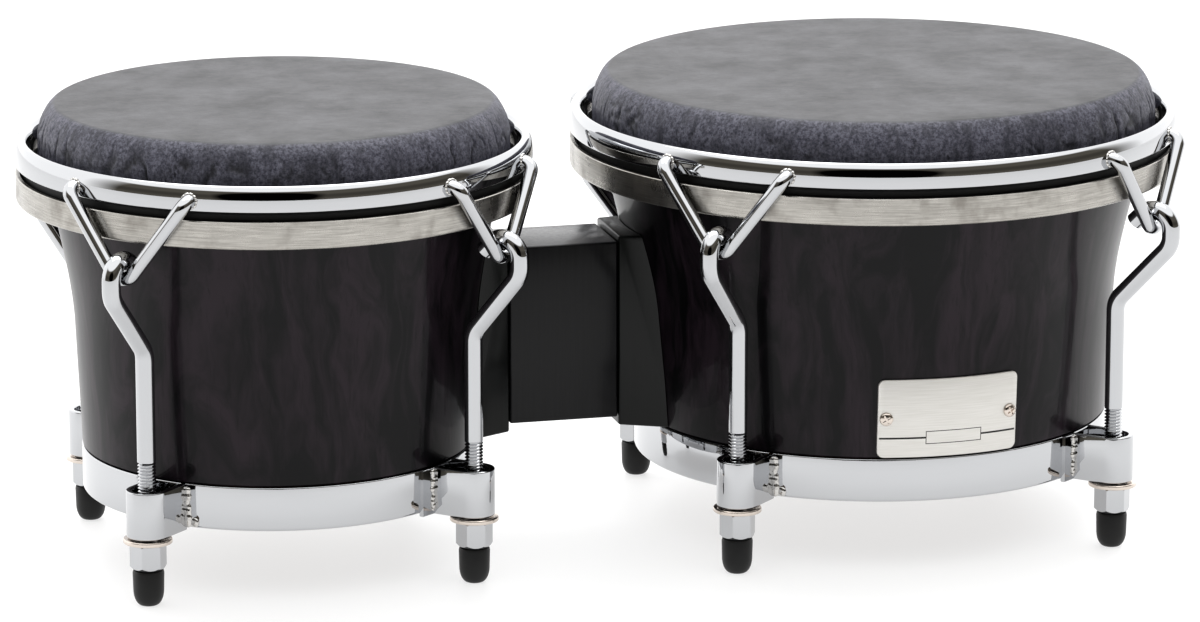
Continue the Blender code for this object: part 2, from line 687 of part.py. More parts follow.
def main():
    for obj in list(bpy.data.objects):
        bpy.data.objects.remove(obj, do_unlink=True)
    mats = make_materials()
    centres = {}
    shells = {}
    for drum in DRUMS:
        centres[drum], shells[drum] = make_drum(drum, mats)
    make_block(centres, shells, mats)
    make_badge(centres["large"], shells["large"], mats)


main()
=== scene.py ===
# %% [markdown]
# # A pair of bongo drums, finished for rendering
# The plain working model of the drums is already made: every piece at its true size and place, with the
# joints that tune the heads. This lesson builds the fine surfaces on top of it, and gives each of them the
# finish that the real piece has. The first cell loads the working model and keeps the size of its box.

# %% Load the working model
import math
import random

import bmesh
import bpy
from mathutils import Matrix, Vector, noise


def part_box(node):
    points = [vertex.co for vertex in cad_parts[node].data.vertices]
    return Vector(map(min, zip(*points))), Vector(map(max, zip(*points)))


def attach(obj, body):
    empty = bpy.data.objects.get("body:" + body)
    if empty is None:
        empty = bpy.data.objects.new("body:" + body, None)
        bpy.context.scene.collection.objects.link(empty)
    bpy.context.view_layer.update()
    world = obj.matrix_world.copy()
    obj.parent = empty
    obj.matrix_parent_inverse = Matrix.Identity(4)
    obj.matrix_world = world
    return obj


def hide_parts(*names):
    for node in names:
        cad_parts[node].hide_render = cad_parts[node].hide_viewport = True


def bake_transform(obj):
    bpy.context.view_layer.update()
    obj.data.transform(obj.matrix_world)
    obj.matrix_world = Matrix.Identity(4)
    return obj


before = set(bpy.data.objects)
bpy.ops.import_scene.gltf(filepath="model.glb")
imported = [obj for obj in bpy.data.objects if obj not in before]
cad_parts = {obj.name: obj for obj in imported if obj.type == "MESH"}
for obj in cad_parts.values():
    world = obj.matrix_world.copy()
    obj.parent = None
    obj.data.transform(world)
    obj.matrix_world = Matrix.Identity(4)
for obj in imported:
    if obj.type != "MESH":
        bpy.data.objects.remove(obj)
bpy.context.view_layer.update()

MM = 0.001
DRUMS = ("small", "large")
STATIONS = ("front_left", "front_right", "back_right", "back_left")


# %% [markdown]
# ## Where everything is
# A piece is placed by reading the box of the plain piece that it stands for. A turned piece is round, so
# half its box is its radius. Only sizes that no box gives, such as a wall or a bend, are written as numbers.

# %% Read radii and places
boxes = {node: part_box(node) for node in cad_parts}


def half_width(node):
    """Half the size along X, which is the radius of a turned piece."""
    low, high = boxes[node]
    return (high.x - low.x) / 2


def middle(node):
    low, high = boxes[node]
    return (low + high) / 2


def bottom(node):
    return boxes[node][0].z


def top(node):
    return boxes[node][1].z


axis = {drum: Vector((middle(f"{drum}_flesh_hoop").x, 0, 0)) for drum in DRUMS}
on_axis = {drum: Matrix.Translation(axis[drum]) for drum in DRUMS}
head_radius = {drum: half_width(f"{drum}_head_skin") for drum in DRUMS}
rim_radius = {drum: half_width(f"{drum}_rim") for drum in DRUMS}
ring_radius = {drum: half_width(f"{drum}_bottom_ring") for drum in DRUMS}
mouth_radius = {drum: half_width(f"{drum}_shell") for drum in DRUMS}
for drum in DRUMS:
    print(drum, "drum: head", round(2 * head_radius[drum] / MM), "mm across, axis at x =",
          round(axis[drum].x / MM, 1), "mm")


# %% [markdown]
# Each drum has four tuning stations, at the corners of a square. A nut is turned about its rod, so the middle
# of a nut's box is on the rod's axis. Everything that repeats at the stations is modelled once, with X
# pointing out of the drum and Z up through the rod, and is then moved to its four places.

# %% Places of the tuning stations
def rod_axis(drum, station):
    place = middle(f"{drum}_nut_{station}")
    return Vector((place.x, place.y, 0))


def rod_radius_out(drum):
    """Distance from the drum's axis to its rods."""
    return (rod_axis(drum, "front_left") - axis[drum]).length


def facing_out(drum, station):
    """The turn that takes a piece with X out of the drum to a station's direction."""
    out = rod_axis(drum, station) - axis[drum]
    return Matrix.Rotation(math.atan2(out.y, out.x), 4, "Z")


def at_rod(drum, station):
    """The matrix that takes a piece modelled about a rod to one of the stations."""
    return Matrix.Translation(rod_axis(drum, station)) @ facing_out(drum, station)


print("rods stand", [round(rod_radius_out(drum) / MM, 1) for drum in DRUMS], "mm out from the axes")


# %% [markdown]
# ## Tools for making a piece
# A bmesh is a mesh that is being worked on. `turned` draws an outline and spins it about the Z axis, as a
# lathe would. `finish` puts the bmesh into the scene at its real place, shades it smooth apart from its
# sharp corners, and says which body it moves with, which plain pieces it stands for and which finish it has.

# %% The main helpers
def turned(outline, segments):
    """Spins a closed outline of (radius, height) points about Z."""
    mesh = bmesh.new()
    points = [mesh.verts.new((radius, 0, height)) for radius, height in outline]
    edges = [mesh.edges.new((a, b)) for a, b in zip(points, points[1:] + points[:1])]
    bmesh.ops.spin(
        mesh, geom=points + edges, cent=(0, 0, 0), axis=(0, 0, 1), angle=math.tau, steps=segments,
        use_merge=True,
    )
    bmesh.ops.remove_doubles(mesh, verts=mesh.verts, dist=0.01 * MM)
    bmesh.ops.dissolve_degenerate(mesh, edges=mesh.edges, dist=0.001 * MM)
    bmesh.ops.recalc_face_normals(mesh, faces=mesh.faces)
    return mesh


def new_object(name, mesh):
    """Puts a bmesh into the scene, at the origin."""
    data = bpy.data.meshes.new(name)
    mesh.to_mesh(data)
    mesh.free()
    made = bpy.data.objects.new(name, data)
    bpy.context.scene.collection.objects.link(made)
    return made


def finish(name, mesh, materials, body, stands_for=(), sharp=35, at=Matrix()):
    """Makes the bmesh a piece of the drums, which rides on a body."""
    bmesh.ops.transform(mesh, matrix=at, verts=mesh.verts)
    piece = new_object(name, mesh)
    for material in materials:
        piece.data.materials.append(material)
    piece.data.shade_smooth()
    piece.data.set_sharp_from_angle(angle=math.radians(sharp))
    if body:
        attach(piece, body)
    if stands_for:
        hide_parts(*stands_for)
    print("made", name, "with", len(piece.data.polygons), "faces, in", materials[0].name)
    return piece


# %% [markdown]
# ## Tools for making a finish
# A finish is a small network of nodes that ends in Blender's Principled shader. `add` makes one node, sets
# it and links it. Colours are written as hex, as a paint shop would name them, and `linear` turns them into
# the linear light values that the shader works in. Pattern scales come from real sizes: a noise of scale s
# has features of about 1/s metres, so `per(3)` gives features of 3 mm. Most finishes are two tones that
# follow a pattern, which `two_tone` builds from a range and a mix.

# %% Helpers for materials
def linear(code):
    """(r, g, b, 1) in linear light from an sRGB hex colour."""
    parts = [int(code[i:i + 2], 16) / 255 for i in (1, 3, 5)]
    return (*[p / 12.92 if p <= 0.04045 else ((p + 0.055) / 1.055) ** 2.4 for p in parts], 1)


def per(size_mm):
    return 1 / (size_mm * MM)


def add(tree, kind, inputs=None, output=0, **settings):
    """Adds a node and gives back one output. An input is a number, a colour or another node's output."""
    node = tree.nodes.new("ShaderNode" + kind)
    for name, value in settings.items():
        setattr(node, name, value)
    for name, value in (inputs or {}).items():
        if isinstance(value, bpy.types.NodeSocket):
            tree.links.new(value, node.inputs[name])
        else:
            node.inputs[name].default_value = value
    return node.outputs[output]


def new_material(name, **values):
    """A material with its shader's own values set. Gives back the material, its tree and its shader."""
    material = bpy.data.materials.new(name)
    material.use_nodes = True
    shader = material.node_tree.nodes["Principled BSDF"]
    for key, value in values.items():
        shader.inputs[key.replace("_", " ")].default_value = value
    print("finish:", name)
    return material, material.node_tree, shader


def feed(tree, shader, **patterns):
    """Links patterns to the shader's inputs."""
    for key, pattern in patterns.items():
        tree.links.new(pattern, shader.inputs[key.replace("_", " ")])


def stretched(tree, scale=(1, 1, 1)):
    """Object coordinates scaled differently along each axis, for grain and streaks."""
    return add(tree, "Mapping", {"Vector": add(tree, "TexCoord", output="Object"), "Scale": scale})


def two_tone(tree, pattern, low, high, below, above, most=1):
    """One tone where the pattern is under low and the other, up to a share of most, where it is over high."""
    share = add(tree, "MapRange", {0: pattern, 1: low, 2: high, 3: 0, 4: most})
    return add(tree, "Mix", {0: share, 6: below, 7: above}, 2, data_type="RGBA")


# %% [markdown]
# ### Dyed rawhide
# The heads are animal skin, dyed grey-black. The skin is scraped by hand, so its tone drifts in cloudy
# patches a few centimetres wide, with small dark flecks and a fine leathery grain. The top is painted paler
# than the collar, as painted light from above, and browner. The collar keeps a bluish grey with darker
# streaks where it hangs, and painted shade in its creases. Faces that look up get the first tone and upright
# ones the second, so the change follows the crest by itself.

# %% Rawhide
def make_rawhide():
    material, tree, shader = new_material("dyed_rawhide", Roughness=0.5)
    even = stretched(tree)
    hung = stretched(tree, (1, 1, 0.1))
    cloud = add(tree, "TexNoise", {"Vector": even, "Scale": per(30), "Detail": 8, "Roughness": 0.72})
    speck = add(tree, "TexNoise", {"Vector": even, "Scale": per(1.3), "Detail": 4, "Roughness": 0.75})
    spot = add(tree, "TexNoise", {"Vector": even, "Scale": per(14), "Detail": 7, "Roughness": 0.7})
    streak = add(tree, "TexNoise", {"Vector": hung, "Scale": per(5), "Detail": 4, "Roughness": 0.65})
    # painted shade: the depth in a crease, kept on the mesh, darkens the collar there
    crease = add(tree, "Attribute", output="Fac", attribute_name="crease")
    facing_up = add(tree, "SeparateXYZ", {0: add(tree, "NewGeometry", output="Normal")}, 2)

    lit_top_tone = two_tone(tree, cloud, 0.36, 0.62, linear("#38383a"), linear("#505053"))
    lit_top_tone = two_tone(tree, spot, 0.58, 0.72, lit_top_tone, linear("#29292b"), 0.6)
    lit_top_tone = two_tone(tree, speck, 0.5, 0.75, lit_top_tone, linear("#2c2c30"), 0.35)
    side_tone = two_tone(tree, speck, 0.38, 0.62, linear("#2f2f3c"), linear("#6c6c78"))
    side_tone = two_tone(tree, streak, 0.45, 0.68, side_tone, linear("#24242e"), 0.75)
    # painted shade: deep in a crease the collar goes near black
    side_tone = two_tone(tree, crease, 0, 1, side_tone, linear("#0b0b10"))
    sheen = add(tree, "MapRange", {0: cloud, 1: 0.35, 2: 0.65, 3: 0.56, 4: 0.50})
    fine = add(tree, "Bump", {"Height": speck, "Strength": 0.35, "Distance": 0.2 * MM})
    both = add(tree, "Bump", {"Height": streak, "Strength": 0.35, "Distance": 0.5 * MM, "Normal": fine})
    # painted light: faces that look up take the paler top tone, which stands for the light from above
    tone = two_tone(tree, facing_up, 0.80, 0.97, side_tone, lit_top_tone)
    feed(tree, shader, Base_Color=tone, Roughness=sheen, Normal=both)
    return material


rawhide = make_rawhide()


# %% [markdown]
# ### Chrome, nickel and zinc plate
# The steel parts are polished, nickel plated and then chromed. Chrome is a mirror with a slight blue-grey
# tone. What makes it look real is the room it reflects and the faint waviness of polished bar: a low bump
# with features of about a centimetre, and polish that is a little uneven. Plating over a weld is rougher.
# Bare nickel is warmer, and zinc is duller, so one function makes all four.

# %% Plated metals
def make_plate(name, colour, roughness, wave):
    material, tree, shader = new_material(
        name, Metallic=1, Roughness=roughness, Base_Color=linear(colour),
    )
    even = stretched(tree)
    polish = add(tree, "TexNoise", {"Vector": even, "Scale": per(6), "Detail": 3})
    lumps = add(tree, "TexNoise", {"Vector": even, "Scale": per(9), "Detail": 1})
    uneven = add(tree, "MapRange", {0: polish, 1: 0.3, 2: 0.7, 3: roughness * 0.8, 4: roughness * 1.5})
    bump = add(tree, "Bump", {"Height": lumps, "Strength": wave, "Distance": 0.5 * MM})
    feed(tree, shader, Roughness=uneven, Normal=bump)
    return material


chrome = make_plate("chrome_plate", "#c1c2c4", 0.025, 0.04)
weld_chrome = make_plate("chrome_plated_weld", "#cfcdca", 0.2, 0.2)
nickel = make_plate("nickel_plate", "#d9cfc6", 0.18, 0.1)
zinc = make_plate("zinc_plate", "#b9bcc0", 0.3, 0.1)


# %% [markdown]
# ### Brushed steel band
# The band round the flesh hoop is rolled from bare strip. Brushing leaves fine lines that run round it, so
# the noise is squeezed hard along Z, and handling leaves dull, slightly yellow stains a centimetre or two
# long.

# %% Brushed steel
def make_brushed():
    material, tree, shader = new_material("brushed_strip", Metallic=1, Roughness=0.3)
    around, blotch = stretched(tree, (1, 1, 40)), stretched(tree, (1, 1, 0.8))
    lines = add(tree, "TexNoise", {"Vector": around, "Scale": per(16), "Detail": 6, "Roughness": 0.75})
    stain = add(tree, "TexNoise", {"Vector": blotch, "Scale": per(14), "Detail": 4, "Roughness": 0.62})
    tone = two_tone(tree, lines, 0.35, 0.65, linear("#9a9792"), linear("#c2bfb9"))
    tone = two_tone(tree, stain, 0.52, 0.7, tone, linear("#85807a"), 0.6)
    dull = add(tree, "MapRange", {0: stain, 1: 0.35, 2: 0.7, 3: 0.22, 4: 0.42})
    bump = add(tree, "Bump", {"Height": lines, "Strength": 0.3, "Distance": 0.1 * MM})
    feed(tree, shader, Base_Color=tone, Roughness=dull, Normal=bump)
    return material


brushed = make_brushed()


# %% [markdown]
# ### Black lacquer over ash
# The shells are glued up from ash staves, stained black and lacquered to a high gloss. The figure of the
# wood still shows through as faint brown-purple flames that run up the shell. Two noises make it: a long
# grain, and a wave that bends the grain, which gives the arches of flat-sawn wood. The gloss is the shader's
# coat, a clear layer over a nearly black base.

# %% Black lacquer
def make_lacquer():
    material, tree, shader = new_material(
        "black_lacquered_ash", Roughness=0.35, Coat_Weight=0.25, Coat_Roughness=0.03, Coat_IOR=1.5,
        Specular_IOR_Level=0.15,
    )
    wave = stretched(tree, (1, 1, 0.45))
    bend = add(tree, "TexNoise", {"Vector": wave, "Scale": per(45), "Detail": 3}, 1)
    moved = add(tree, "VectorMath", {0: bend, 1: (0.05, 0.05, 0)}, operation="MULTIPLY")
    way = add(tree, "VectorMath", {0: stretched(tree, (1, 1, 0.16)), 1: moved}, operation="ADD")
    flame = add(tree, "TexNoise", {"Vector": way, "Scale": per(13), "Detail": 5, "Roughness": 0.62,
                                   "Distortion": 0.6})
    upright = stretched(tree, (1, 1, 0.05))
    pore = add(tree, "TexNoise", {"Vector": upright, "Scale": per(1.6), "Detail": 3, "Roughness": 0.7})
    tone = two_tone(tree, flame, 0.42, 0.62, linear("#08070a"), linear("#2a2128"))
    feed(tree, shader, Base_Color=two_tone(tree, pore, 0.55, 0.75, tone, linear("#060506"), 0.7))
    return material


lacquer = make_lacquer()


# %% [markdown]
# ### Bare ash
# The inside of a shell is sealed but not stained: pale brown ash, dull, with long upright grain that can
# still be felt. It shows only from below.

# %% Bare ash
def make_bare_wood():
    material, tree, shader = new_material("sealed_ash", Roughness=0.55)
    upright = stretched(tree, (1, 1, 0.05))
    grain = add(tree, "TexNoise", {"Vector": upright, "Scale": per(3), "Detail": 5, "Roughness": 0.65})
    tone = two_tone(tree, grain, 0.35, 0.68, linear("#a9835c"), linear("#6f4d31"))
    bump = add(tree, "Bump", {"Height": grain, "Strength": 0.3, "Distance": 0.2 * MM})
    feed(tree, shader, Base_Color=tone, Normal=bump)
    return material


bare_wood = make_bare_wood()


# %% [markdown]
# ### Satin black wood
# The block and its flanges are painted black and rubbed to a satin. Fine upright grain still telegraphs
# through the paint, so it is mostly a bump, with a barely lighter tone on the ridges. The faces that look up
# are painted greyer than the sides, as a painted sheen of the light from above.

# %% Satin black
def make_satin(name, low, high, roughness, painted_top_sheen):
    material, tree, shader = new_material(
        name, Roughness=roughness, Coat_Weight=0.4, Coat_Roughness=0.16, Specular_IOR_Level=0.15,
    )
    upright = stretched(tree, (1, 1, 0.04))
    grain = add(tree, "TexNoise", {"Vector": upright, "Scale": per(1.4), "Detail": 4, "Roughness": 0.65})
    facing_up = add(tree, "SeparateXYZ", {0: add(tree, "NewGeometry", output="Normal")}, 2)
    tone = two_tone(tree, grain, 0.35, 0.7, linear(low), linear(high))
    # painted light: faces that look up are greyed, as a painted sheen of the light from above
    tone = two_tone(tree, facing_up, 0.6, 1, tone, linear(painted_top_sheen))
    uneven = add(tree, "MapRange", {0: grain, 1: 0.3, 2: 0.7, 3: roughness * 0.85, 4: roughness * 1.2})
    bump = add(tree, "Bump", {"Height": grain, "Strength": 0.3, "Distance": 0.12 * MM})
    feed(tree, shader, Base_Color=tone, Roughness=uneven, Normal=bump)
    return material


# the last colour of each is the painted sheen on faces that look up
block_satin = make_satin("satin_black_block", "#0b0b0d", "#161618", 0.4, "#525254")
flange_satin = make_satin("satin_black_flange", "#060807", "#0e110f", 0.35, "#2a2b2b")


# %% [markdown]
# ### Rubber and the hoop's wrapping
# The feet are moulded black rubber: nearly black and rather dull, with a fine mould texture and a slightly
# paler bloom in patches. The strip that wraps the flesh hoop is as black, but rougher and coarser, so the
# same function makes it with other values.

# %% Rubber and wrapping
def make_dull_black(name, low, high, roughness, grain_mm):
    material, tree, shader = new_material(name, Roughness=roughness)
    even = stretched(tree)
    grain = add(tree, "TexNoise", {"Vector": even, "Scale": per(grain_mm), "Detail": 2})
    cloud = add(tree, "TexNoise", {"Vector": even, "Scale": per(6), "Detail": 2})
    tone = two_tone(tree, cloud, 0.35, 0.65, linear(low), linear(high))
    bump = add(tree, "Bump", {"Height": grain, "Strength": 0.25, "Distance": 0.05 * MM})
    feed(tree, shader, Base_Color=tone, Normal=bump)
    return material


rubber = make_dull_black("black_rubber", "#070707", "#0f1010", 0.45, 0.8)
hoop_wrap = make_dull_black("black_hoop_wrap", "#040404", "#0a0a0a", 0.6, 1.5)


# %% [markdown]
# ## The wooden shells
# A bongo shell is a gentle cone that opens into a bowl below the head. It is turned on a lathe, so it is
# spun here from its outline: a rabbet at the foot that the chrome ring sits in, the outside with its long
# flare, the rounded bearing edge that the skin is stretched over, and the bare inside, 8 mm in. The outside
# is written as a function of height first, because flanges, badge and screws sit on it too.

# %% Outline of a shell
JOINT = 0.3 * MM  # between pieces that touch
EDGE_HEIGHT = 13 * MM  # height of the rounding, of bearing edge and of skin alike
STRAIGHT_SHARE = 0.4  # share of the flare that is a plain cone
FLARE_START = 0.4  # height share at which the bowl starts to open


def shell_radius(drum, z):
    low = top(f"{drum}_bottom_ring")
    high = top(f"{drum}_head_skin") - EDGE_HEIGHT
    u = min(1, max(0, (z - low) / (high - low)))
    opening = min(1, max(0, (u - FLARE_START) / (1 - FLARE_START)))
    share = STRAIGHT_SHARE * u + (1 - STRAIGHT_SHARE) * opening * opening * (3 - 2 * opening)
    foot = ring_radius[drum] - JOINT
    return foot + (mouth_radius[drum] - foot) * share


for height in (40 * MM, 100 * MM, 160 * MM):
    print("shell radii at", round(height / MM), "mm:",
          [round(shell_radius(drum, height) / MM, 1) for drum in DRUMS], "mm")


# %% [markdown]
# The lathe leaves one solid. Faces that lie well inside the outside surface, and those of the rabbet, get
# the bare wood, so the lacquer stops where a sprayer's masking would stop it.

# %% Shells
SHELL_WALL = 8 * MM
RING_THICKNESS = 2.2 * MM
EDGE_WIDTH = 7 * MM  # how far in the bearing edge is rounded
EASE = 0.5 * MM  # small rounding of a machined edge


def make_shell(drum):
    seat = top(f"{drum}_bottom_ring") + JOINT
    mouth = top(f"{drum}_head_skin") - EDGE_HEIGHT
    crest = top(f"{drum}_shell")
    foot = bottom(f"{drum}_shell")
    rabbet = ring_radius[drum] - RING_THICKNESS - JOINT
    heights = [seat + EASE + (mouth - seat - EASE) * k / 28 for k in range(29)]
    outline = [(rabbet - EASE, foot), (rabbet, foot + EASE), (rabbet, seat)]
    outline += [(shell_radius(drum, seat) - EASE, seat)]
    outline += [(shell_radius(drum, z), z) for z in heights]
    for k in range(1, 9):
        turn = math.radians(90 * k / 8)
        inward = EDGE_WIDTH * (1 - math.cos(turn))
        outline.append((mouth_radius[drum] - inward, mouth + (crest - mouth) * math.sin(turn)))
    outline.append((mouth_radius[drum] - SHELL_WALL, crest - 0.4 * MM))
    outline += [(shell_radius(drum, z) - SHELL_WALL, z) for z in heights[::-4]]
    outline.append((shell_radius(drum, seat) - SHELL_WALL, foot))
    mesh = turned(outline, 192)
    for face in mesh.faces:
        place = face.calc_center_median()
        out = math.hypot(place.x, place.y)
        bare = out < shell_radius(drum, place.z) - SHELL_WALL / 2 or place.z < seat - EASE
        face.material_index = 1 if bare else 0
    return finish(f"{drum}_lacquered_shell", mesh, (lacquer, bare_wood), "root", (f"{drum}_shell",),
                  at=on_axis[drum])


for drum in DRUMS:
    make_shell(drum)


# %% [markdown]
# ## The heads
# A wet skin is pulled over the shell and tucked round a hoop. As it dries it goes drum-tight on top, while
# the collar below the edge gathers in small upright pleats, because there the skin has more width than it
# needs. A cloth simulation could gather it, but pleats set by a noise are quicker and stay where they are
# wanted. The first noise changes quickly round the drum and slowly with height. Where a second noise passes
# through zero there is a narrow crease.

# %% Pleats and creases
PLEAT_DEPTH = 0.6 * MM
PLEAT_WIDTH = 11 * MM
CREASE_DEPTH = 1.1 * MM
CREASE_SPACING = 9 * MM
CREASE_WIDTH = 0.13  # in units of the noise that places the creases
EDGE_FULLNESS = 1.6  # 2 would be a plain quarter of an ellipse; less gives a crisper crest
SKIN_EDGE_WIDTH = EDGE_WIDTH + 0.5 * MM


def limited(value):
    return min(1, max(0, value))


def skin_edge(drum, z):
    """Outside radius of the skin at this height."""
    rise = limited(1 - (top(f"{drum}_head_skin") - z) / EDGE_HEIGHT)
    inward = 1 - (1 - rise ** EDGE_FULLNESS) ** (1 / EDGE_FULLNESS)
    return head_radius[drum] - SKIN_EDGE_WIDTH * inward


def folds(drum, angle, z):
    """How far the skin stands in here, and how deep in a crease this place is, from 0 to 1."""
    fall = (top(f"{drum}_head_skin") - z) / EDGE_HEIGHT
    along = Vector((math.cos(angle), math.sin(angle), 0)) * head_radius[drum]
    wave = noise.noise(along / PLEAT_WIDTH + Vector((0, 0, z / (70 * MM))))
    slip = 1.2 * MM * noise.noise(Vector((angle * 9, 0, z / (6 * MM))))
    line = noise.noise(along / CREASE_SPACING + Vector((slip / MM, 5, z / (90 * MM))))
    strong = limited(0.75 + 1.6 * noise.noise(along / (30 * MM) + Vector((0, 0, 3))))
    crease = max(0, 1 - abs(line) / CREASE_WIDTH) ** 1.2 * strong * limited(fall * 2.2 - 0.5)
    pleat = PLEAT_DEPTH * limited(fall * 1.6 - 0.1) * (0.5 - 0.7 * wave)
    return pleat + CREASE_DEPTH * crease, crease


print("deepest fold:", round(max(folds("large", k / 50, 160 * MM)[0] for k in range(314)) / MM, 2), "mm")


# %% [markdown]
# The head is spun as a thin closed cover, and every point of its outside below the crest is moved inwards by
# the folds. The depth in a crease is kept on the mesh, so that the finish can darken it as painted shade. The
# collar's foot goes down with the hoop when the drum is tuned, but the piece rides on no body and stays put.

# %% Heads
SKIN_THICKNESS = 1.6 * MM


def make_head(drum):
    radius = head_radius[drum]
    crest = top(f"{drum}_head_skin")
    low = bottom(f"{drum}_head_skin")
    edge = crest - EDGE_HEIGHT
    shoulder = radius - SKIN_EDGE_WIDTH
    outline = [(0, crest), (shoulder * 0.4, crest), (shoulder * 0.75, crest), (shoulder * 0.93, crest)]
    for k in range(17):
        z = crest - EDGE_HEIGHT * (1 - math.cos(math.radians(90 * k / 16)))
        outline.append((skin_edge(drum, z), z))
    outline += [(radius, edge + (low - edge) * k / 8) for k in range(1, 9)]
    outline += [(radius - SKIN_THICKNESS, low), (radius - SKIN_THICKNESS, edge)]
    outline += [(shoulder + 2.5 * MM, crest - 3.2 * MM), (shoulder, crest - SKIN_THICKNESS)]
    outline += [(0, crest - SKIN_THICKNESS)]
    mesh = turned(outline, 880)
    # the depth in a crease is kept for the finish, which paints shade into the creases with it
    depth = mesh.verts.layers.float.new("crease")
    for vert in mesh.verts:
        out = math.hypot(vert.co.x, vert.co.y)
        if abs(out - skin_edge(drum, vert.co.z)) < 0.3 * MM and vert.co.z < crest - 0.05 * MM:
            inward, vert[depth] = folds(drum, math.atan2(vert.co.y, vert.co.x), vert.co.z)
            vert.co.x *= (out - inward) / out
            vert.co.y *= (out - inward) / out
    head = finish(f"{drum}_rawhide_head", mesh, (rawhide,), None, (f"{drum}_head_skin",), sharp=60,
                  at=on_axis[drum])
    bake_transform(head)


for drum in DRUMS:
    make_head(drum)


# %% [markdown]
# ## Flesh hoop and steel band
# Three rings lie one over the other. The flesh hoop is wrapped in skin and shows only as a black gap. The
# steel band is a shallow channel that cups it from below. The rim comes on top. All three go down when the
# drum is tuned. Each is turned from its section, and `arc` rounds the section's corners.

# %% Hoop and band
BAND_WALL = 1.6 * MM
BAND_TO_SKIN = 0.8 * MM
BAND_BEND = 1.2 * MM
HOOP_INSET = 3.4 * MM
HOOP_SOFT = 1.4 * MM


def arc(centre, radius, start, end, steps):
    """Points of an arc in the (radius, height) plane, from one angle in degrees to another."""
    turns = [math.radians(start + (end - start) * k / steps) for k in range(steps + 1)]
    return [(centre[0] + radius * math.cos(turn), centre[1] + radius * math.sin(turn)) for turn in turns]


def make_band(drum):
    low = bottom(f"{drum}_hoop_band")
    high = top(f"{drum}_hoop_band")
    inner = head_radius[drum] + BAND_TO_SKIN
    outer = half_width(f"{drum}_hoop_band")
    outline = [(inner, low + EASE), (inner + EASE, low)]
    outline += arc((outer - BAND_BEND, low + BAND_BEND), BAND_BEND, -90, 0, 5)
    outline += [(outer, high - 0.3 * MM), (outer - 0.3 * MM, high), (outer - BAND_WALL, high)]
    outline += [(outer - BAND_WALL, low + BAND_WALL), (inner + BAND_WALL, low + BAND_WALL)]
    outline += [(inner + BAND_WALL, high), (inner, high)]
    finish(f"{drum}_steel_band", turned(outline, 240), (brushed,), f"{drum}_tuning", (f"{drum}_hoop_band",),
           at=on_axis[drum])


def make_hoop(drum):
    low = bottom(f"{drum}_flesh_hoop")
    high = top(f"{drum}_flesh_hoop")
    inner = head_radius[drum] + BAND_TO_SKIN + BAND_WALL + JOINT
    outer = rim_radius[drum] - HOOP_INSET
    outline = arc((outer - HOOP_SOFT, low + HOOP_SOFT), HOOP_SOFT, -90, 0, 4)
    outline += arc((outer - HOOP_SOFT, high - HOOP_SOFT), HOOP_SOFT, 0, 90, 4)
    outline += [(inner, high), (inner, low)]
    finish(f"{drum}_wrapped_hoop", turned(outline, 160), (hoop_wrap,), f"{drum}_tuning",
           (f"{drum}_flesh_hoop",), at=on_axis[drum])


for drum in DRUMS:
    make_band(drum)
    make_hoop(drum)


# %% [markdown]
# ## The rim
# The rim is a flat bar, rolled on edge into a ring and polished until its top is a half round, which is kind
# to the hands. The rounding reaches further down than a half circle would, so it is drawn as half an
# ellipse, a little deeper than the bar is wide.

# %% Rim bar
RIM_WIDTH = 5.9 * MM
RIM_HEIGHT = 9.7 * MM
CROWN_HEIGHT = 6.3 * MM  # the outside starts to lean in this far below the top
RIM_SOFT = 0.6 * MM


def make_rim_bar(drum):
    outer = rim_radius[drum]
    inner = outer - RIM_WIDTH
    high = top(f"{drum}_rim")
    low = high - RIM_HEIGHT
    outline = arc((inner + RIM_SOFT, low + RIM_SOFT), RIM_SOFT, 180, 270, 3)
    outline += arc((outer - RIM_SOFT, low + RIM_SOFT), RIM_SOFT, 270, 360, 3)
    for k in range(29):
        turn = math.pi * k / 28
        across = (inner + outer) / 2 + RIM_WIDTH / 2 * math.cos(turn)
        outline.append((across, high - CROWN_HEIGHT * (1 - math.sin(turn))))
    finish(f"{drum}_rim_bar", turned(outline, 288), (chrome,), f"{drum}_tuning", (f"{drum}_rim",),
           at=on_axis[drum])


for drum in DRUMS:
    make_rim_bar(drum)


# %% [markdown]
# ## Tools for bent bar
# Ears and rods are round bar. `bent` turns a few corner points into a path with the real bend radii, and
# `bar` sweeps a circle along it: a curve with a bevel does that more evenly round a bend than extruding
# would. `taken` gives back, as a new bmesh, what an object's modifiers or a curve's bevel leave of it.

# %% Helpers for round bar
def taken(made, *helpers):
    """The object as its modifiers leave it, as a new bmesh. The object and its helpers are removed."""
    graph = bpy.context.evaluated_depsgraph_get()
    graph.update()
    data = bpy.data.meshes.new_from_object(made.evaluated_get(graph))
    mesh = bmesh.new()
    mesh.from_mesh(data)
    bpy.data.meshes.remove(data)
    for helper in (made, *helpers):
        bpy.data.objects.remove(helper, do_unlink=True)
    return mesh


def bar(path, radius, sides):
    """Round bar of this radius along a path of points, closed at both ends."""
    curve = bpy.data.curves.new("bar", "CURVE")
    curve.dimensions = "3D"
    curve.bevel_depth = radius
    curve.bevel_resolution = sides // 4 - 1
    curve.use_fill_caps = True
    curve.twist_mode = "MINIMUM"
    spline = curve.splines.new("POLY")
    spline.points.add(len(path) - 1)
    for point, place in zip(spline.points, path):
        point.co = (*place, 1)
    made = bpy.data.objects.new("bar", curve)
    bpy.context.scene.collection.objects.link(made)
    mesh = taken(made)
    bmesh.ops.remove_doubles(mesh, verts=mesh.verts, dist=0.002 * MM)
    bmesh.ops.recalc_face_normals(mesh, faces=mesh.faces)
    return mesh


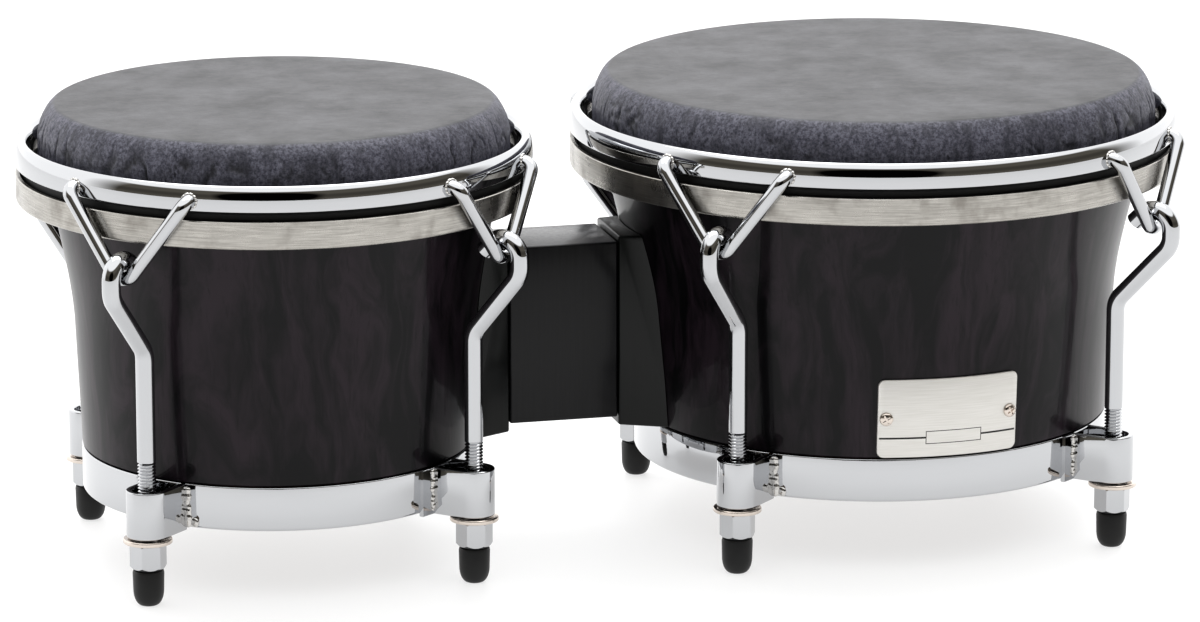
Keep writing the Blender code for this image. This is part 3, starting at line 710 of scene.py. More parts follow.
def bent(points, bends, step=6):
    """The path through the points, with each inner corner rounded to its bend radius."""
    path = [Vector(points[0])]
    for before, corner, after, radius in zip(points, points[1:], points[2:], bends):
        corner = Vector(corner)
        back = (Vector(before) - corner).normalized()
        ahead = (Vector(after) - corner).normalized()
        half = back.angle(ahead) / 2
        centre = corner + (back + ahead).normalized() * radius / math.sin(half)
        start = (corner + back * radius / math.tan(half) - centre).normalized()
        end = (corner + ahead * radius / math.tan(half) - centre).normalized()
        steps = max(3, round(math.degrees(start.angle(end)) / step))
        path += [centre + start.slerp(end, k / steps) * radius for k in range(steps + 1)]
    path.append(Vector(points[-1]))
    return path


corner_path = bent([(0, 0, 0), (0, 0, 1), (0, 1, 1)], [0.5])
print("a right-angled bend takes", len(corner_path) - 2, "points")


# %% [markdown]
# ## The ears
# The ears are bent from 5.5 mm rod, one for each station. Both ends turn in to the rim and are welded there,
# and the point of the V hangs lower, where the tension rod hooks into it. The height of the point follows
# from the rod: ear and rod touch with the usual joint between them.

# %% Ears
EAR_ROD = 5.5 * MM
ROD = 7.1 * MM
EAR_HALF_ANGLE = math.radians(37.5)
EAR_WELD_BELOW_TOP = 5.9 * MM
EAR_REACH = 4 * MM
EAR_VERTEX_REACH = 3.6 * MM
EAR_BENDS = (4 * MM, 6 * MM, 4 * MM)
HOOK_BEND = 7 * MM
HOOK_BELOW_RIM = 36.9 * MM  # from the rim's top down to the centre of the hook's bend


def ear_path(drum):
    """Centre line of an ear, with X out of the drum, and the angle from its middle to a weld."""
    weld_z = top(f"{drum}_rim") - EAR_WELD_BELOW_TOP
    hook_z = top(f"{drum}_rim") - HOOK_BELOW_RIM
    corner_z = hook_z + HOOK_BEND - (ROD / 2 + EAR_ROD / 2 + JOINT) / math.sin(EAR_HALF_ANGLE)
    half = (weld_z - corner_z) * math.tan(EAR_HALF_ANGLE)
    spread = math.asin(half / (rim_radius[drum] + EAR_REACH))

    def on_rim(side, reach):
        out = rim_radius[drum] + reach
        return Vector((out * math.cos(spread), side * out * math.sin(spread), weld_z))

    corner = (rim_radius[drum] + EAR_VERTEX_REACH, 0, corner_z)
    left = [on_rim(-1, -RIM_WIDTH / 3), on_rim(-1, EAR_REACH)]
    right = [on_rim(1, EAR_REACH), on_rim(1, -RIM_WIDTH / 3)]
    return bent([*left, corner, *right], EAR_BENDS), spread


for drum in DRUMS:
    for station in STATIONS:
        path, spread = ear_path(drum)
        finish(f"{drum}_ear_{station}", bar(path, EAR_ROD / 2, 24), (chrome,), f"{drum}_tuning",
               at=on_axis[drum] @ facing_out(drum, station))


# %% [markdown]
# Each end of an ear is welded all round. The weld is a small collar of filler: ten squashed balls round the
# rod, each with a little noise on it, so that no two look alike.

# %% Ear welds
def ball(radius, stretch, at, seed, rough):
    """A small lump of weld metal."""
    mesh = bmesh.new()
    bmesh.ops.create_icosphere(mesh, subdivisions=2, radius=radius)
    for vert in mesh.verts:
        vert.co *= 1 + rough * noise.noise(vert.co / radius * 1.7 + Vector((seed, 0, 0)))
    bmesh.ops.scale(mesh, vec=stretch, verts=mesh.verts)
    bmesh.ops.transform(mesh, matrix=at, verts=mesh.verts)
    return mesh


def joined(*meshes):
    """One bmesh with everything that is in the given ones."""
    whole = meshes[0]
    for mesh in meshes[1:]:
        data = bpy.data.meshes.new("joined")
        mesh.to_mesh(data)
        mesh.free()
        whole.from_mesh(data)
        bpy.data.meshes.remove(data)
    return whole


def make_ear_weld(drum, number, station):
    spread = ear_path(drum)[1]
    weld_z = top(f"{drum}_rim") - EAR_WELD_BELOW_TOP
    beads = []
    for side in (-1, 1):
        facing = Matrix.Rotation(side * spread, 4, "Z") @ Matrix.Translation((rim_radius[drum], 0, weld_z))
        for k in range(10):
            round_rod = Matrix.Rotation(math.tau * k / 10, 4, "X")
            place = facing @ round_rod @ Matrix.Translation((-0.2 * MM, EAR_ROD / 2, 0))
            beads.append(ball(0.7 * MM, (1, 0.9, 1.5), place, 10 * number + k + side, 0.15))
    finish(f"{drum}_ear_weld_{station}", joined(*beads), (weld_chrome,), f"{drum}_tuning",
           sharp=80, at=on_axis[drum] @ facing_out(drum, station))


for drum in DRUMS:
    for number, station in enumerate(STATIONS):
        make_ear_weld(drum, number, station)


# %% [markdown]
# ## Bottom ring
# The ring is pressed steel strip with a lip that turns in under the shell. It is turned from an L with a
# rounded heel, as a press would leave it.

# %% Bottom ring
RING_HEIGHT = 17 * MM
RING_LIP = 6 * MM
LIP_THICKNESS = 1.6 * MM
RING_BEND = 1.2 * MM


def make_ring(drum):
    outer = ring_radius[drum]
    inner = outer - RING_THICKNESS
    high = top(f"{drum}_bottom_ring")
    low = high - RING_HEIGHT
    outline = [(inner - RING_LIP, low)]
    outline += arc((outer - RING_BEND, low + RING_BEND), RING_BEND, 270, 360, 5)
    outline += arc((outer - EASE, high - EASE), EASE, 0, 90, 3)
    outline += [(inner, high), (inner, low + LIP_THICKNESS), (inner - RING_LIP, low + LIP_THICKNESS)]
    finish(f"{drum}_chrome_ring", turned(outline, 240), (chrome,), "root", (f"{drum}_bottom_ring",),
           at=on_axis[drum])


for drum in DRUMS:
    make_ring(drum)


# %% [markdown]
# ## Lugs
# Each lug is a strap bent to a U round the rod and welded to the ring: one leg ends square, with a round
# plug weld beside it, and the other ends in a tab that lies on the ring. The strap starts as one flat face,
# the plan of the U, is extruded upwards, and has its level edges bevelled. A strap swept along a path would
# do as well, but the plan shows at once where the legs meet the ring.

# %% Lug straps
LUG_RADIUS = 8 * MM
LUG_WALL = 2.2 * MM
LUG_SINK = 0.8 * MM  # how far the square leg goes into the ring
TAB_WIDTH = 6.5 * MM
TAB_THICKNESS = 1.3 * MM


def ring_face(drum, side_step):
    """How far in from the rod's axis the ring's face is, at this distance to the side."""
    return math.sqrt(ring_radius[drum] ** 2 - side_step ** 2) - rod_radius_out(drum)


def raise_faces(mesh, height):
    """Extrudes every face upwards and closes the solid."""
    grown = bmesh.ops.extrude_face_region(mesh, geom=mesh.faces[:])["geom"]
    raised = [item for item in grown if isinstance(item, bmesh.types.BMVert)]
    bmesh.ops.translate(mesh, verts=raised, vec=(0, 0, height))
    bmesh.ops.recalc_face_normals(mesh, faces=mesh.faces)


def lug_strap(drum):
    leg_end = ring_radius[drum] - rod_radius_out(drum) - LUG_SINK
    inner = LUG_RADIUS - LUG_WALL
    tab_end = LUG_RADIUS + TAB_WIDTH
    outside = [(ring_face(drum, tab_end) - 0.5 * MM, -tab_end)]
    outside += [(ring_face(drum, tab_end) + TAB_THICKNESS, -tab_end)]
    outside += [(ring_face(drum, LUG_RADIUS) + TAB_THICKNESS, -LUG_RADIUS)]
    outside += arc((0, 0), LUG_RADIUS, -90, 90, 24) + [(leg_end, LUG_RADIUS)]
    inside = [(leg_end, inner)] + arc((0, 0), inner, 90, -90, 24) + [(leg_end, -inner)]
    low = bottom(f"{drum}_bottom_ring")
    mesh = bmesh.new()
    mesh.faces.new([mesh.verts.new((x, y, low)) for x, y in outside + inside])
    raise_faces(mesh, top(f"{drum}_bottom_ring") - low)
    level = [edge for edge in mesh.edges if abs(edge.verts[0].co.z - edge.verts[1].co.z) < 0.01 * MM]
    bmesh.ops.bevel(mesh, geom=level, offset=0.45 * MM, segments=3, profile=0.5, affect="EDGES", material=-1)
    return mesh


for drum in DRUMS:
    for station in STATIONS:
        finish(f"{drum}_lug_{station}", lug_strap(drum), (chrome,), "root",
               at=at_rod(drum, station))


# %% [markdown]
# The welds are chains of small overlapping lumps up the legs, melted into one bead by a voxel remesh and
# then smoothed. The lumps' sizes and spacing are drawn at random from a fixed seed, as a hand welder's would
# vary, and come out the same each time.

# %% Lug welds
VOXEL = 0.25 * MM


def weld_bead(drum, seed):
    """Both beads of a lug, and the plug weld."""
    pick = random.Random(seed)
    low = bottom(f"{drum}_bottom_ring") + 1.2 * MM
    high = top(f"{drum}_bottom_ring")
    lumps = []
    for side in (-1, 1):
        x = ring_face(drum, LUG_RADIUS + 0.9 * MM) + (TAB_THICKNESS if side < 0 else 0)
        z = low + 1.2 * MM
        while z < high - 1.2 * MM:
            radius = pick.uniform(1.1, 1.7) * MM
            shift = (x + pick.uniform(-0.3, 0.1) * MM, side * (LUG_RADIUS + pick.uniform(0.3, 1.0) * MM), z)
            turn = Matrix.Translation(shift) @ Matrix.Rotation(side * pick.uniform(-0.2, 0.7), 4, "X")
            lumps.append(ball(radius, (0.75, 1.1, 0.95), turn, pick.random() * 9, 0.15))
            z += pick.uniform(0.9, 1.7) * MM
    plug = Matrix.Translation((x - 0.5 * MM, LUG_RADIUS + 3.4 * MM, low + 2.2 * MM))
    lumps.append(ball(2.1 * MM, (0.45, 1, 1), plug, 3, 0.08))
    made = new_object("beads", joined(*lumps))
    melt = made.modifiers.new("melt", "REMESH")
    melt.mode = "VOXEL"
    melt.voxel_size = VOXEL
    smooth = made.modifiers.new("smooth", "SMOOTH")
    smooth.factor = 0.5
    smooth.iterations = 7
    return taken(made)


for drum in DRUMS:
    for number, station in enumerate(STATIONS):
        finish(f"{drum}_lug_weld_{station}", weld_bead(drum, number), (weld_chrome,), "root",
               sharp=80, at=at_rod(drum, station))


# %% [markdown]
# ## Threads
# The lower end of each rod is threaded, 20 turns to the inch. The thread is modelled, because its bright
# lines show above the lug: one tooth of the profile is spun with a climb, so that each turn ends where the
# next begins, as a die cuts it. All rods share it, so it is made once and kept as mesh data.

# %% Thread
PITCH = 1.27 * MM
THREAD_TOP = 56.5 * MM
THREAD_CREST = 3.5 * MM
THREAD_ROOT = 2.85 * MM
STEPS_PER_TURN = 28


def thread(low, high):
    """A closed helical thread between two heights."""
    turns = math.ceil((high - low) / PITCH)
    flat = 0.14 * PITCH
    mesh = bmesh.new()
    profile = [(THREAD_ROOT, 0), (THREAD_ROOT, flat), (THREAD_CREST, PITCH / 2 - flat / 2),
               (THREAD_CREST, PITCH / 2 + flat / 2), (THREAD_ROOT, PITCH)]
    verts = [mesh.verts.new((radius, 0, low + z)) for radius, z in profile]
    edges = [mesh.edges.new(pair) for pair in zip(verts, verts[1:])]
    bmesh.ops.spin(
        mesh, geom=verts + edges, cent=(0, 0, 0), axis=(0, 0, 1), dvec=(0, 0, PITCH / STEPS_PER_TURN),
        angle=math.tau * turns, steps=STEPS_PER_TURN * turns, use_merge=False,
    )
    bmesh.ops.remove_doubles(mesh, verts=mesh.verts, dist=0.01 * MM)
    bmesh.ops.holes_fill(mesh, edges=[edge for edge in mesh.edges if edge.is_boundary], sides=0)
    bmesh.ops.recalc_face_normals(mesh, faces=mesh.faces)
    return mesh


thread_data = bpy.data.meshes.new("thread")
thread(bottom("small_rod_front_left"), THREAD_TOP - 1.2 * PITCH).to_mesh(thread_data)
print("thread:", len(thread_data.polygons), "faces")


# %% [markdown]
# ## Tension rods
# A rod hooks over the ear, steps in towards the shell, and runs straight down through lug, washer and nut.
# The shank is round bar along a bent path: two bends for the step, then the hook as part of a circle about
# the ear, and a short stub past it. The sawn ends are eased, and the thread is added to the same mesh.

# %% Rods
HOOK_TURN = math.radians(135)
HOOK_STUB = 5 * MM
JOG_TOP = 122.5 * MM
JOG_BOTTOM = 98 * MM
JOG_BEND = 9 * MM


def make_rod(drum, station):
    hook_x = rim_radius[drum] + EAR_VERTEX_REACH - rod_radius_out(drum)
    hook_z = top(f"{drum}_rim") - HOOK_BELOW_RIM
    outer_x = hook_x + HOOK_BEND
    straight = [(0, 0, THREAD_TOP - 0.8 * MM), (0, 0, JOG_BOTTOM)]
    straight += [(outer_x, 0, JOG_TOP), (outer_x, 0, hook_z)]
    path = bent(straight, (JOG_BEND, JOG_BEND), step=4)[:-1]
    for k in range(25):
        turn = HOOK_TURN * k / 24
        path.append(Vector((hook_x + HOOK_BEND * math.cos(turn), 0, hook_z + HOOK_BEND * math.sin(turn))))
    path.append(path[-1] + Vector((-math.sin(HOOK_TURN), 0, math.cos(HOOK_TURN))) * HOOK_STUB)
    shank = bar(path, ROD / 2, 28)
    ends = [face for face in shank.faces if len(face.verts) > 4]
    rims = [edge for face in ends for edge in face.edges]
    bmesh.ops.bevel(shank, geom=rims, offset=0.4 * MM, segments=3, profile=0.5, affect="EDGES", material=-1)
    shank.from_mesh(thread_data)
    finish(f"{drum}_tension_rod_{station}", shank, (chrome,), f"{drum}_tuning", (f"{drum}_rod_{station}",),
           sharp=40, at=at_rod(drum, station))


for drum in DRUMS:
    for station in STATIONS:
        make_rod(drum, station)


# %% [markdown]
# ## Tuning nuts
# The hexagon nut is turned from bar: its corners are chamfered on a lathe, which leaves the scalloped edge.
# That is exactly a hexagonal prism kept only where it overlaps a turned shape, so a Boolean makes it. Each
# nut stops where its drum came into tune, so no two are turned alike.

# %% Nuts
NUT_FLATS = 12.2 * MM
NUT_TURNS = (45, 8, 33, 21)  # degrees
BORE = 4 * MM
PAST = 0.01 * MM  # a cutter goes this far past a face


def cut(mesh, cutter, operation="DIFFERENCE"):
    """One bmesh cut by another, or kept only where they share space with INTERSECT."""
    made = new_object("cut_piece", mesh)
    other = new_object("cutter", cutter)
    step = made.modifiers.new("cut", "BOOLEAN")
    step.operation = operation
    step.solver = "EXACT"
    step.object = other
    return taken(made, other)


def make_nut(drum, station, turned_by):
    node = f"{drum}_nut_{station}"
    low = bottom(node)
    high = top(node)
    corner = NUT_FLATS / 2 / math.cos(math.radians(30))
    widest = corner + 0.2 * MM
    prism = bmesh.new()
    bmesh.ops.create_cone(prism, cap_ends=True, segments=6, radius1=corner, radius2=corner, depth=high - low)
    bmesh.ops.rotate(prism, matrix=Matrix.Rotation(math.radians(turned_by), 3, "Z"), verts=prism.verts)
    bmesh.ops.translate(prism, vec=(0, 0, (low + high) / 2), verts=prism.verts)
    outline = [(BORE, low - PAST), (corner - 1.3 * MM, low - PAST), (widest, low + 1.5 * MM)]
    outline += [(widest, high - 0.6 * MM), (corner - 0.7 * MM, high + PAST), (BORE, high + PAST)]
    mesh = cut(prism, turned(outline, 96), "INTERSECT")
    finish(f"{drum}_tuning_nut_{station}", mesh, (chrome,), f"{drum}_tuner_{station}", (node,),
           sharp=12, at=at_rod(drum, station))


for drum in DRUMS:
    for number, station in enumerate(STATIONS):
        make_nut(drum, station, NUT_TURNS[number])


# %% [markdown]
# ## Rubber feet
# A foot is a moulded cap, pressed on the nut's lower end, and turns with it. Its nose is a blunt bullet, a
# little fuller than half an ellipse, with a small flat that it stands on.

# %% Feet
FOOT_FLAT = 2.4 * MM
FOOT_NOSE = 6.4 * MM  # height of the rounded part
FOOT_FLOOR = 2.6 * MM
NOSE_FULLNESS = 0.94  # less than 1 makes the rounding fuller than an ellipse


def make_foot(drum, station):
    node = f"{drum}_foot_{station}"
    high = top(node)
    radius = half_width(node)
    swell = radius - 0.15 * MM - FOOT_FLAT
    outline = [(0, 0), (FOOT_FLAT, 0)]
    for k in range(1, 13):
        turn = math.radians(90 * k / 12)
        across = FOOT_FLAT + swell * math.sin(turn) ** NOSE_FULLNESS
        outline.append((across, FOOT_NOSE * (1 - math.cos(turn) ** NOSE_FULLNESS)))
    outline += [(radius, high - 1.2 * MM), (radius - 0.3 * MM, high - 0.1 * MM), (radius - 0.8 * MM, high)]
    outline += [(BORE, high), (BORE, FOOT_FLOOR), (0, FOOT_FLOOR)]
    finish(f"{drum}_rubber_foot_{station}", turned(outline, 64), (rubber,), f"{drum}_tuner_{station}",
           (node,), at=at_rod(drum, station))


for drum in DRUMS:
    for station in STATIONS:
        make_foot(drum, station)


# %% [markdown]
# ## Washers
# A thin nickel washer spreads the nut's pull under each lug. It is a turned ring with soft edges. It never
# sits quite level, so every point is raised or lowered by a little that grows outwards, with the high side
# in a different direction at each station.

# %% Washers
WASHER_SOFT = 0.55 * MM
WASHER_TILT = 0.15 * MM  # up on one side and down on the other
WIDTH_SHARE = 0.966  # the plain washer has 12 sides, and its box is this share of its corners' circle


def make_washer(drum, station, lean):
    node = f"{drum}_washer_{station}"
    low = bottom(node)
    high = top(node)
    radius = half_width(node) / WIDTH_SHARE
    inward = radius - WASHER_SOFT
    outline = [(BORE, low + 0.25 * MM)] + arc((inward, low + WASHER_SOFT), WASHER_SOFT, -90, 0, 5)
    outline += arc((inward, high - WASHER_SOFT - 0.15 * MM), WASHER_SOFT, 0, 90, 5)
    outline += [(BORE, high - 0.05 * MM)]
    mesh = turned(outline, 72)
    for vert in mesh.verts:
        share = math.hypot(vert.co.x, vert.co.y) / radius
        vert.co.z += WASHER_TILT * share * math.cos(math.atan2(vert.co.y, vert.co.x) + lean)
    finish(f"{drum}_nickel_washer_{station}", mesh, (nickel,), "root", (node,),
           at=at_rod(drum, station))


for drum in DRUMS:
    for number, station in enumerate(STATIONS):
        make_washer(drum, station, 1.3 * number)


# %% [markdown]
# ## Centre block
# The block is a plain planed length of wood with eased edges. A cube's eight corners are moved to their
# places and its edges bevelled, and the flanges will use the same helper.

# %% Centre block
def eased_box(corners, ease):
    """A box with its eight corners moved to the given places, keyed by their signs along X, Y and Z."""
    mesh = bmesh.new()
    bmesh.ops.create_cube(mesh, size=2)
    for vert in mesh.verts:
        vert.co = corners(*[1 if value > 0 else -1 for value in vert.co])
    bmesh.ops.recalc_face_normals(mesh, faces=mesh.faces)
    bmesh.ops.bevel(mesh, geom=mesh.edges[:], offset=ease, segments=3, profile=0.5, affect="EDGES",
                    material=-1)
    return mesh


def block_corner(*signs):
    low, high = boxes["centre_block"]
    return [high[i] if sign > 0 else low[i] for i, sign in enumerate(signs)]


finish("satin_centre_block", eased_box(block_corner, 0.9 * MM), (block_satin,), "root", ("centre_block",))


# %% [markdown]
# ## Flanges
# Each flange is a wedge that is flat towards the block and hollowed to fit the shell: a tapered box, cut by
# a solid of revolution a touch larger than the shell, which is how a maker would sand it to its drum. It
# widens more at its foot than at its top.

# %% Flanges
FLANGE_LENGTH = 26 * MM  # of the box before it is hollowed
FLARE = {1: 3 * MM, -1: 9 * MM}  # how much wider each side gets, at the top and at the foot
CORE = 5 * MM  # inner radius of the cutter, which is a thick tube


def make_flange(drum):
    low, high = boxes[f"{drum}_flange"]
    side = 1 if axis[drum].x < 0 else -1  # which way the block lies
    face_x = high.x if side > 0 else low.x
    half_block = (boxes["centre_block"][1].y - boxes["centre_block"][0].y) / 2

    def corner(x, y, z):
        if x * side > 0:
            place_x, wide = face_x, half_block
        else:
            place_x = face_x - side * FLANGE_LENGTH
            wide = half_block + FLARE[z] * FLANGE_LENGTH / abs(high.x - low.x)
        return (place_x, y * wide, high.z if z > 0 else low.z)

    start = low.z - 2 * MM
    heights = [start + (high.z - low.z + 4 * MM) * k / 16 for k in range(17)]
    outline = [(shell_radius(drum, z) + JOINT, z) for z in heights]
    outline += [(CORE, heights[-1]), (CORE, heights[0])]
    cutter = turned(outline, 288)
    bmesh.ops.translate(cutter, vec=axis[drum], verts=cutter.verts)
    mesh = cut(eased_box(corner, 0.8 * MM), cutter)
    finish(f"{drum}_satin_flange", mesh, (flange_satin,), "root", (f"{drum}_flange",),
           sharp=25)


for drum in DRUMS:
    make_flange(drum)


# %% [markdown]
# ## Bolts and backing plates
# The bolts that hold the block, and the plates under their heads, are inside the drums and show only from
# below. Their plain shapes are good enough, so they keep them, and only get the zinc finish.

# %% Zinc on the kept pieces
for drum in DRUMS:
    for fixing in ("backing_plate", "block_bolt_lower", "block_bolt_upper"):
        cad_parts[f"{drum}_{fixing}"].material_slots[0].material = zinc
        print("zinc on", f"{drum}_{fixing}")


# %% [markdown]
# ## The badge's finish
# The badge is a thin plate of satin silver with a fine upright brushing. Its print is part of the finish: a
# fine black line with a blank box in it, drawn from the plate's UV map, which holds millimetres across and
# up. Any lettering is left off. The print is paint, so it isn't metallic.

# %% Badge finish
LINE_HALF = (27.8, 0.36)  # half the line's length and thickness, in millimetres
BOX_HALF = (11.3, 2.6)
BOX_SHIFT = 1.5
PRINT_EDGE = 0.3


def make_badge_finish(height_mm):
    material, tree, shader = new_material("printed_satin_silver", Metallic=0.85, Roughness=0.4)
    x, y, _ = add(tree, "SeparateXYZ", {0: add(tree, "UVMap", uv_map="millimetres")}).node.outputs

    def compute(operation, a, b):
        return add(tree, "Math", {0: a, 1: b}, operation=operation)

    def inside(half_x, half_y, centre_x, centre_y):
        """1 inside a box of the print, 0 outside."""
        dx = compute("ABSOLUTE", compute("SUBTRACT", x, centre_x), 0)
        dy = compute("ABSOLUTE", compute("SUBTRACT", y, centre_y), 0)
        return compute("MULTIPLY", compute("LESS_THAN", dx, half_x), compute("LESS_THAN", dy, half_y))

    line_y = -height_mm * 0.25
    line = inside(*LINE_HALF, 0, line_y)
    box = inside(*BOX_HALF, BOX_SHIFT, line_y)
    blank = inside(*[half - PRINT_EDGE for half in BOX_HALF], BOX_SHIFT, line_y)
    ink = compute("SUBTRACT", compute("MAXIMUM", line, box), blank)
    brushing = stretched(tree, (0.3, 0.3, 8))
    grain = add(tree, "TexNoise", {"Vector": brushing, "Scale": per(4), "Detail": 4})
    silver = two_tone(tree, grain, 0.35, 0.65, linear("#dad8d3"), linear("#e2e0dc"))
    bare = add(tree, "MapRange", {0: ink, 1: 0, 2: 1, 3: 0.8, 4: 0})
    feed(tree, shader, Base_Color=two_tone(tree, ink, 0, 1, silver, linear("#15130f")), Metallic=bare)
    return material


badge_silver = make_badge_finish((top("badge_plate") - bottom("badge_plate")) / MM)


# %% [markdown]
# ## The badge
# The plate follows the shell's curve. It starts as one flat face with rounded corners, is cut into narrow
# upright strips so that it can bend, gets its thickness, and every point is then laid on the shell. The UV
# map is taken from the flat plate, before the bend, so the print isn't distorted.

# %% Badge plate
BADGE_HALF = 28.5 * MM
BADGE_ANGLE = math.radians(-88)
BADGE_THICKNESS = 0.9 * MM
BADGE_STRIPS = 24


def make_badge():
    low = bottom("badge_plate")
    high = top("badge_plate")
    mesh = bmesh.new()
    bmesh.ops.create_grid(mesh, x_segments=1, y_segments=1, size=1)
    bmesh.ops.scale(mesh, vec=(BADGE_HALF, (high - low) / 2, 1), verts=mesh.verts)
    bmesh.ops.bevel(mesh, geom=mesh.verts[:], offset=2.6 * MM, segments=6, profile=0.5, affect="VERTICES",
                    material=-1)
    cuts = [((BADGE_HALF * (2 * k / BADGE_STRIPS - 1), 0, 0), (1, 0, 0)) for k in range(1, BADGE_STRIPS)]
    for place, direction in cuts + [((0, 0, 0), (0, 1, 0))]:
        everything = mesh.verts[:] + mesh.edges[:] + mesh.faces[:]
        bmesh.ops.bisect_plane(mesh, geom=everything, plane_co=place, plane_no=direction)
    raise_faces(mesh, BADGE_THICKNESS)
    front = [edge for edge in mesh.edges if edge.verts[0].co.z > 0 and edge.verts[1].co.z > 0]
    border = [edge for edge in front if edge.calc_face_angle(0) > 1]
    bmesh.ops.bevel(mesh, geom=border, offset=0.3 * MM, segments=3, profile=0.5, affect="EDGES", material=-1)
    layer = mesh.loops.layers.uv.new("millimetres")
    for face in mesh.faces:
        for loop in face.loops:
            loop[layer].uv = (loop.vert.co.x / MM, loop.vert.co.y / MM)
    for vert in mesh.verts:
        z = (low + high) / 2 + vert.co.y
        radius = shell_radius("large", z) + JOINT + vert.co.z
        turn = BADGE_ANGLE + vert.co.x / radius
        vert.co = (radius * math.cos(turn), radius * math.sin(turn), z)
    finish("silver_badge", mesh, (badge_silver,), "root", ("badge_plate",), at=on_axis["large"])


make_badge()


# %% [markdown]
# ## Badge screws
# Two small domed screws with a cross slot hold the badge. A screw is turned upright, its slot is cut by two
# small boxes, and it is then laid over towards its place, at right angles to the shell.

# %% Badge screws
SCREW_HEAD = 2.6 * MM
SCREW_SIDE = 0.15 * MM
SCREW_DOME = 1.0 * MM
SLOT_SIZE = (3.4 * MM, 0.7 * MM, 1.2 * MM)
SLOT_TURN = 0.5  # radians


def make_badge_screw(side):
    node = f"badge_screw_{side}"
    outline = [(0, -1 * MM), (SCREW_HEAD, -1 * MM)]
    for k in range(6):
        rise = math.radians(15 * k)
        outline.append((SCREW_HEAD * math.cos(rise), SCREW_SIDE + SCREW_DOME * math.sin(rise)))
    outline.append((0, SCREW_SIDE + SCREW_DOME))
    mesh = turned(outline, 48)
    for turn in (SLOT_TURN, SLOT_TURN + math.pi / 2):
        slot = bmesh.new()
        bmesh.ops.create_cube(slot, size=1)
        bmesh.ops.scale(slot, vec=SLOT_SIZE, verts=slot.verts)
        lifted = Matrix.Translation((0, 0, 1.1 * MM)) @ Matrix.Rotation(turn, 4, "Z")
        bmesh.ops.transform(slot, matrix=lifted, verts=slot.verts)
        mesh = cut(mesh, slot)
    spot = middle(node) - axis["large"]
    angle = math.atan2(spot.y, spot.x)
    out = shell_radius("large", spot.z) + 2 * JOINT + BADGE_THICKNESS
    lay = Matrix.Translation(axis["large"] + Vector((out * math.cos(angle), out * math.sin(angle), spot.z)))
    lay = lay @ Matrix.Rotation(angle, 4, "Z") @ Matrix.Rotation(math.radians(90), 4, "Y")
    finish(f"cross_{node}", mesh, (nickel,), "root", (node,), at=lay)


for side in ("left", "right"):
    make_badge_screw(side)


# %% [markdown]
# ## The floor
# The drums stand on a light table, as for a catalogue: a matt pale sheet that is lit from below. It keeps
# the ground white, leaves only a soft shadow, and shines up into the chrome.

# %% Floor
FLOOR_HALF = 12  # metres


def make_floor():
    material, tree, shader = new_material(
        "pale_light_table", Roughness=0.6, Emission_Strength=0.6, Emission_Color=(1, 1, 1, 1),
    )
    tint = add(tree, "TexNoise", {"Vector": stretched(tree), "Scale": per(400), "Detail": 2})
    feed(tree, shader, Base_Color=two_tone(tree, tint, 0.3, 0.7, linear("#9a9a9a"), linear("#9e9e9e")))
    mesh = bmesh.new()
    bmesh.ops.create_grid(mesh, x_segments=1, y_segments=1, size=FLOOR_HALF)
    floor = new_object("floor", mesh)
    floor.data.materials.append(material)


make_floor()


# %% [markdown]
# ## The light
# Chrome and lacquer look like what they reflect, so the light is as much part of the finish as the material
# is. One big soft light hangs above. The rest is the room itself, the world behind everything: bright behind
# the drums and overhead, and dim towards the viewer, with a dark oval in it. The oval is what draws the
# black lines down the rods. An evenly bright room would leave the chrome without any contrast.

# %% Light and room
SOFTBOX_PLACE = Vector((0.1, 0.35, 1.5))
SOFTBOX_AIM = Vector((0, 0, 0.1))
BACKDROP = (1.35, 1.35, 1.35, 1)
ACROSS = (0.968, -0.25, 0)  # level, and square to the way to the camera

softbox = bpy.data.lights.new("top_softbox", "AREA")
softbox.shape = "RECTANGLE"
softbox.size, softbox.size_y = 1.5, 0.9
softbox.energy = 12
lamp = bpy.data.objects.new("top_softbox", softbox)
lamp.location = SOFTBOX_PLACE
lamp.rotation_euler = (SOFTBOX_AIM - SOFTBOX_PLACE).to_track_quat("-Z", "Y").to_euler()
bpy.context.scene.collection.objects.link(lamp)

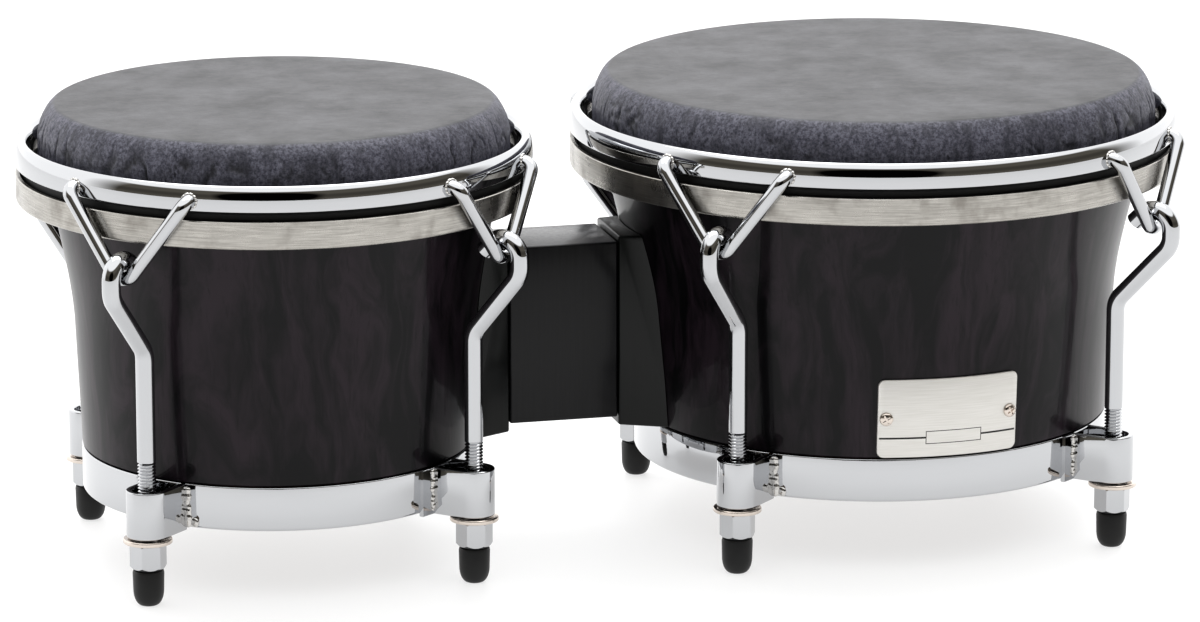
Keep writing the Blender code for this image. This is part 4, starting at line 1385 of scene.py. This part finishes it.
world = bpy.data.worlds.new("studio")
world.use_nodes = True
room = world.node_tree
direction = add(room, "TexCoord", output="Generated")
_, to_back, upwards = add(room, "SeparateXYZ", {0: direction}).node.outputs
behind = add(room, "MapRange", {0: to_back, 1: -0.1, 2: 0.25, 3: 0, 4: 1})
above = add(room, "MapRange", {0: upwards, 1: 0.58, 2: 0.66, 3: 0, 4: 1})
lit = add(room, "Math", {0: behind, 1: above}, operation="MAXIMUM")
sideways = add(room, "VectorMath", {0: direction, 1: ACROSS}, "Value", operation="DOT_PRODUCT")
across = add(room, "MapRange", {0: sideways, 1: -0.42, 2: 0.42, 3: -1, 4: 1})
upright = add(room, "MapRange", {0: upwards, 1: -0.15, 2: 0.55, 3: -1, 4: 1})
from_oval = add(room, "CombineXYZ", {0: across, 1: upright})
from_oval = add(room, "VectorMath", {0: from_oval}, "Value", operation="LENGTH")
dim = two_tone(room, from_oval, 0.85, 1.1, linear("#070606"), linear("#6b675f"))
tone = add(room, "Mix", {0: lit, 6: dim, 7: BACKDROP}, 2, data_type="RGBA")
room.links.new(tone, room.nodes["Background"].inputs["Color"])
bpy.context.scene.world = world
bpy.context.scene.view_settings.view_transform = "Standard"
bpy.context.scene.view_settings.look = "Medium High Contrast"
print("light:", softbox.energy, "W above, and the room")


# %% [markdown]
# ## The camera
# The camera stands a little left of the front and looks slightly down. It is far off with a long lens, so
# the two drums keep their proportions and upright lines stay nearly parallel.

# %% Camera
AZIMUTH = math.radians(-14.51)
ELEVATION = math.radians(13.70)
DISTANCE = 2.4201
AIM = Vector((-0.0008, 0, 0.080))


def make_camera():
    level = Vector((math.sin(AZIMUTH), -math.cos(AZIMUTH), 0)) * math.cos(ELEVATION)
    data = bpy.data.cameras.new("camera")
    data.lens = 185.6
    data.sensor_width = 36
    data.shift_y = 0.0156
    camera = bpy.data.objects.new("camera", data)
    camera.location = AIM + (level + Vector((0, 0, math.sin(ELEVATION)))) * DISTANCE
    camera.rotation_euler = (AIM - camera.location).to_track_quat("-Z", "Y").to_euler()
    bpy.context.scene.collection.objects.link(camera)
    bpy.context.scene.camera = camera
    print("camera:", DISTANCE, "m off, with a", round(data.lens), "mm lens")


make_camera()
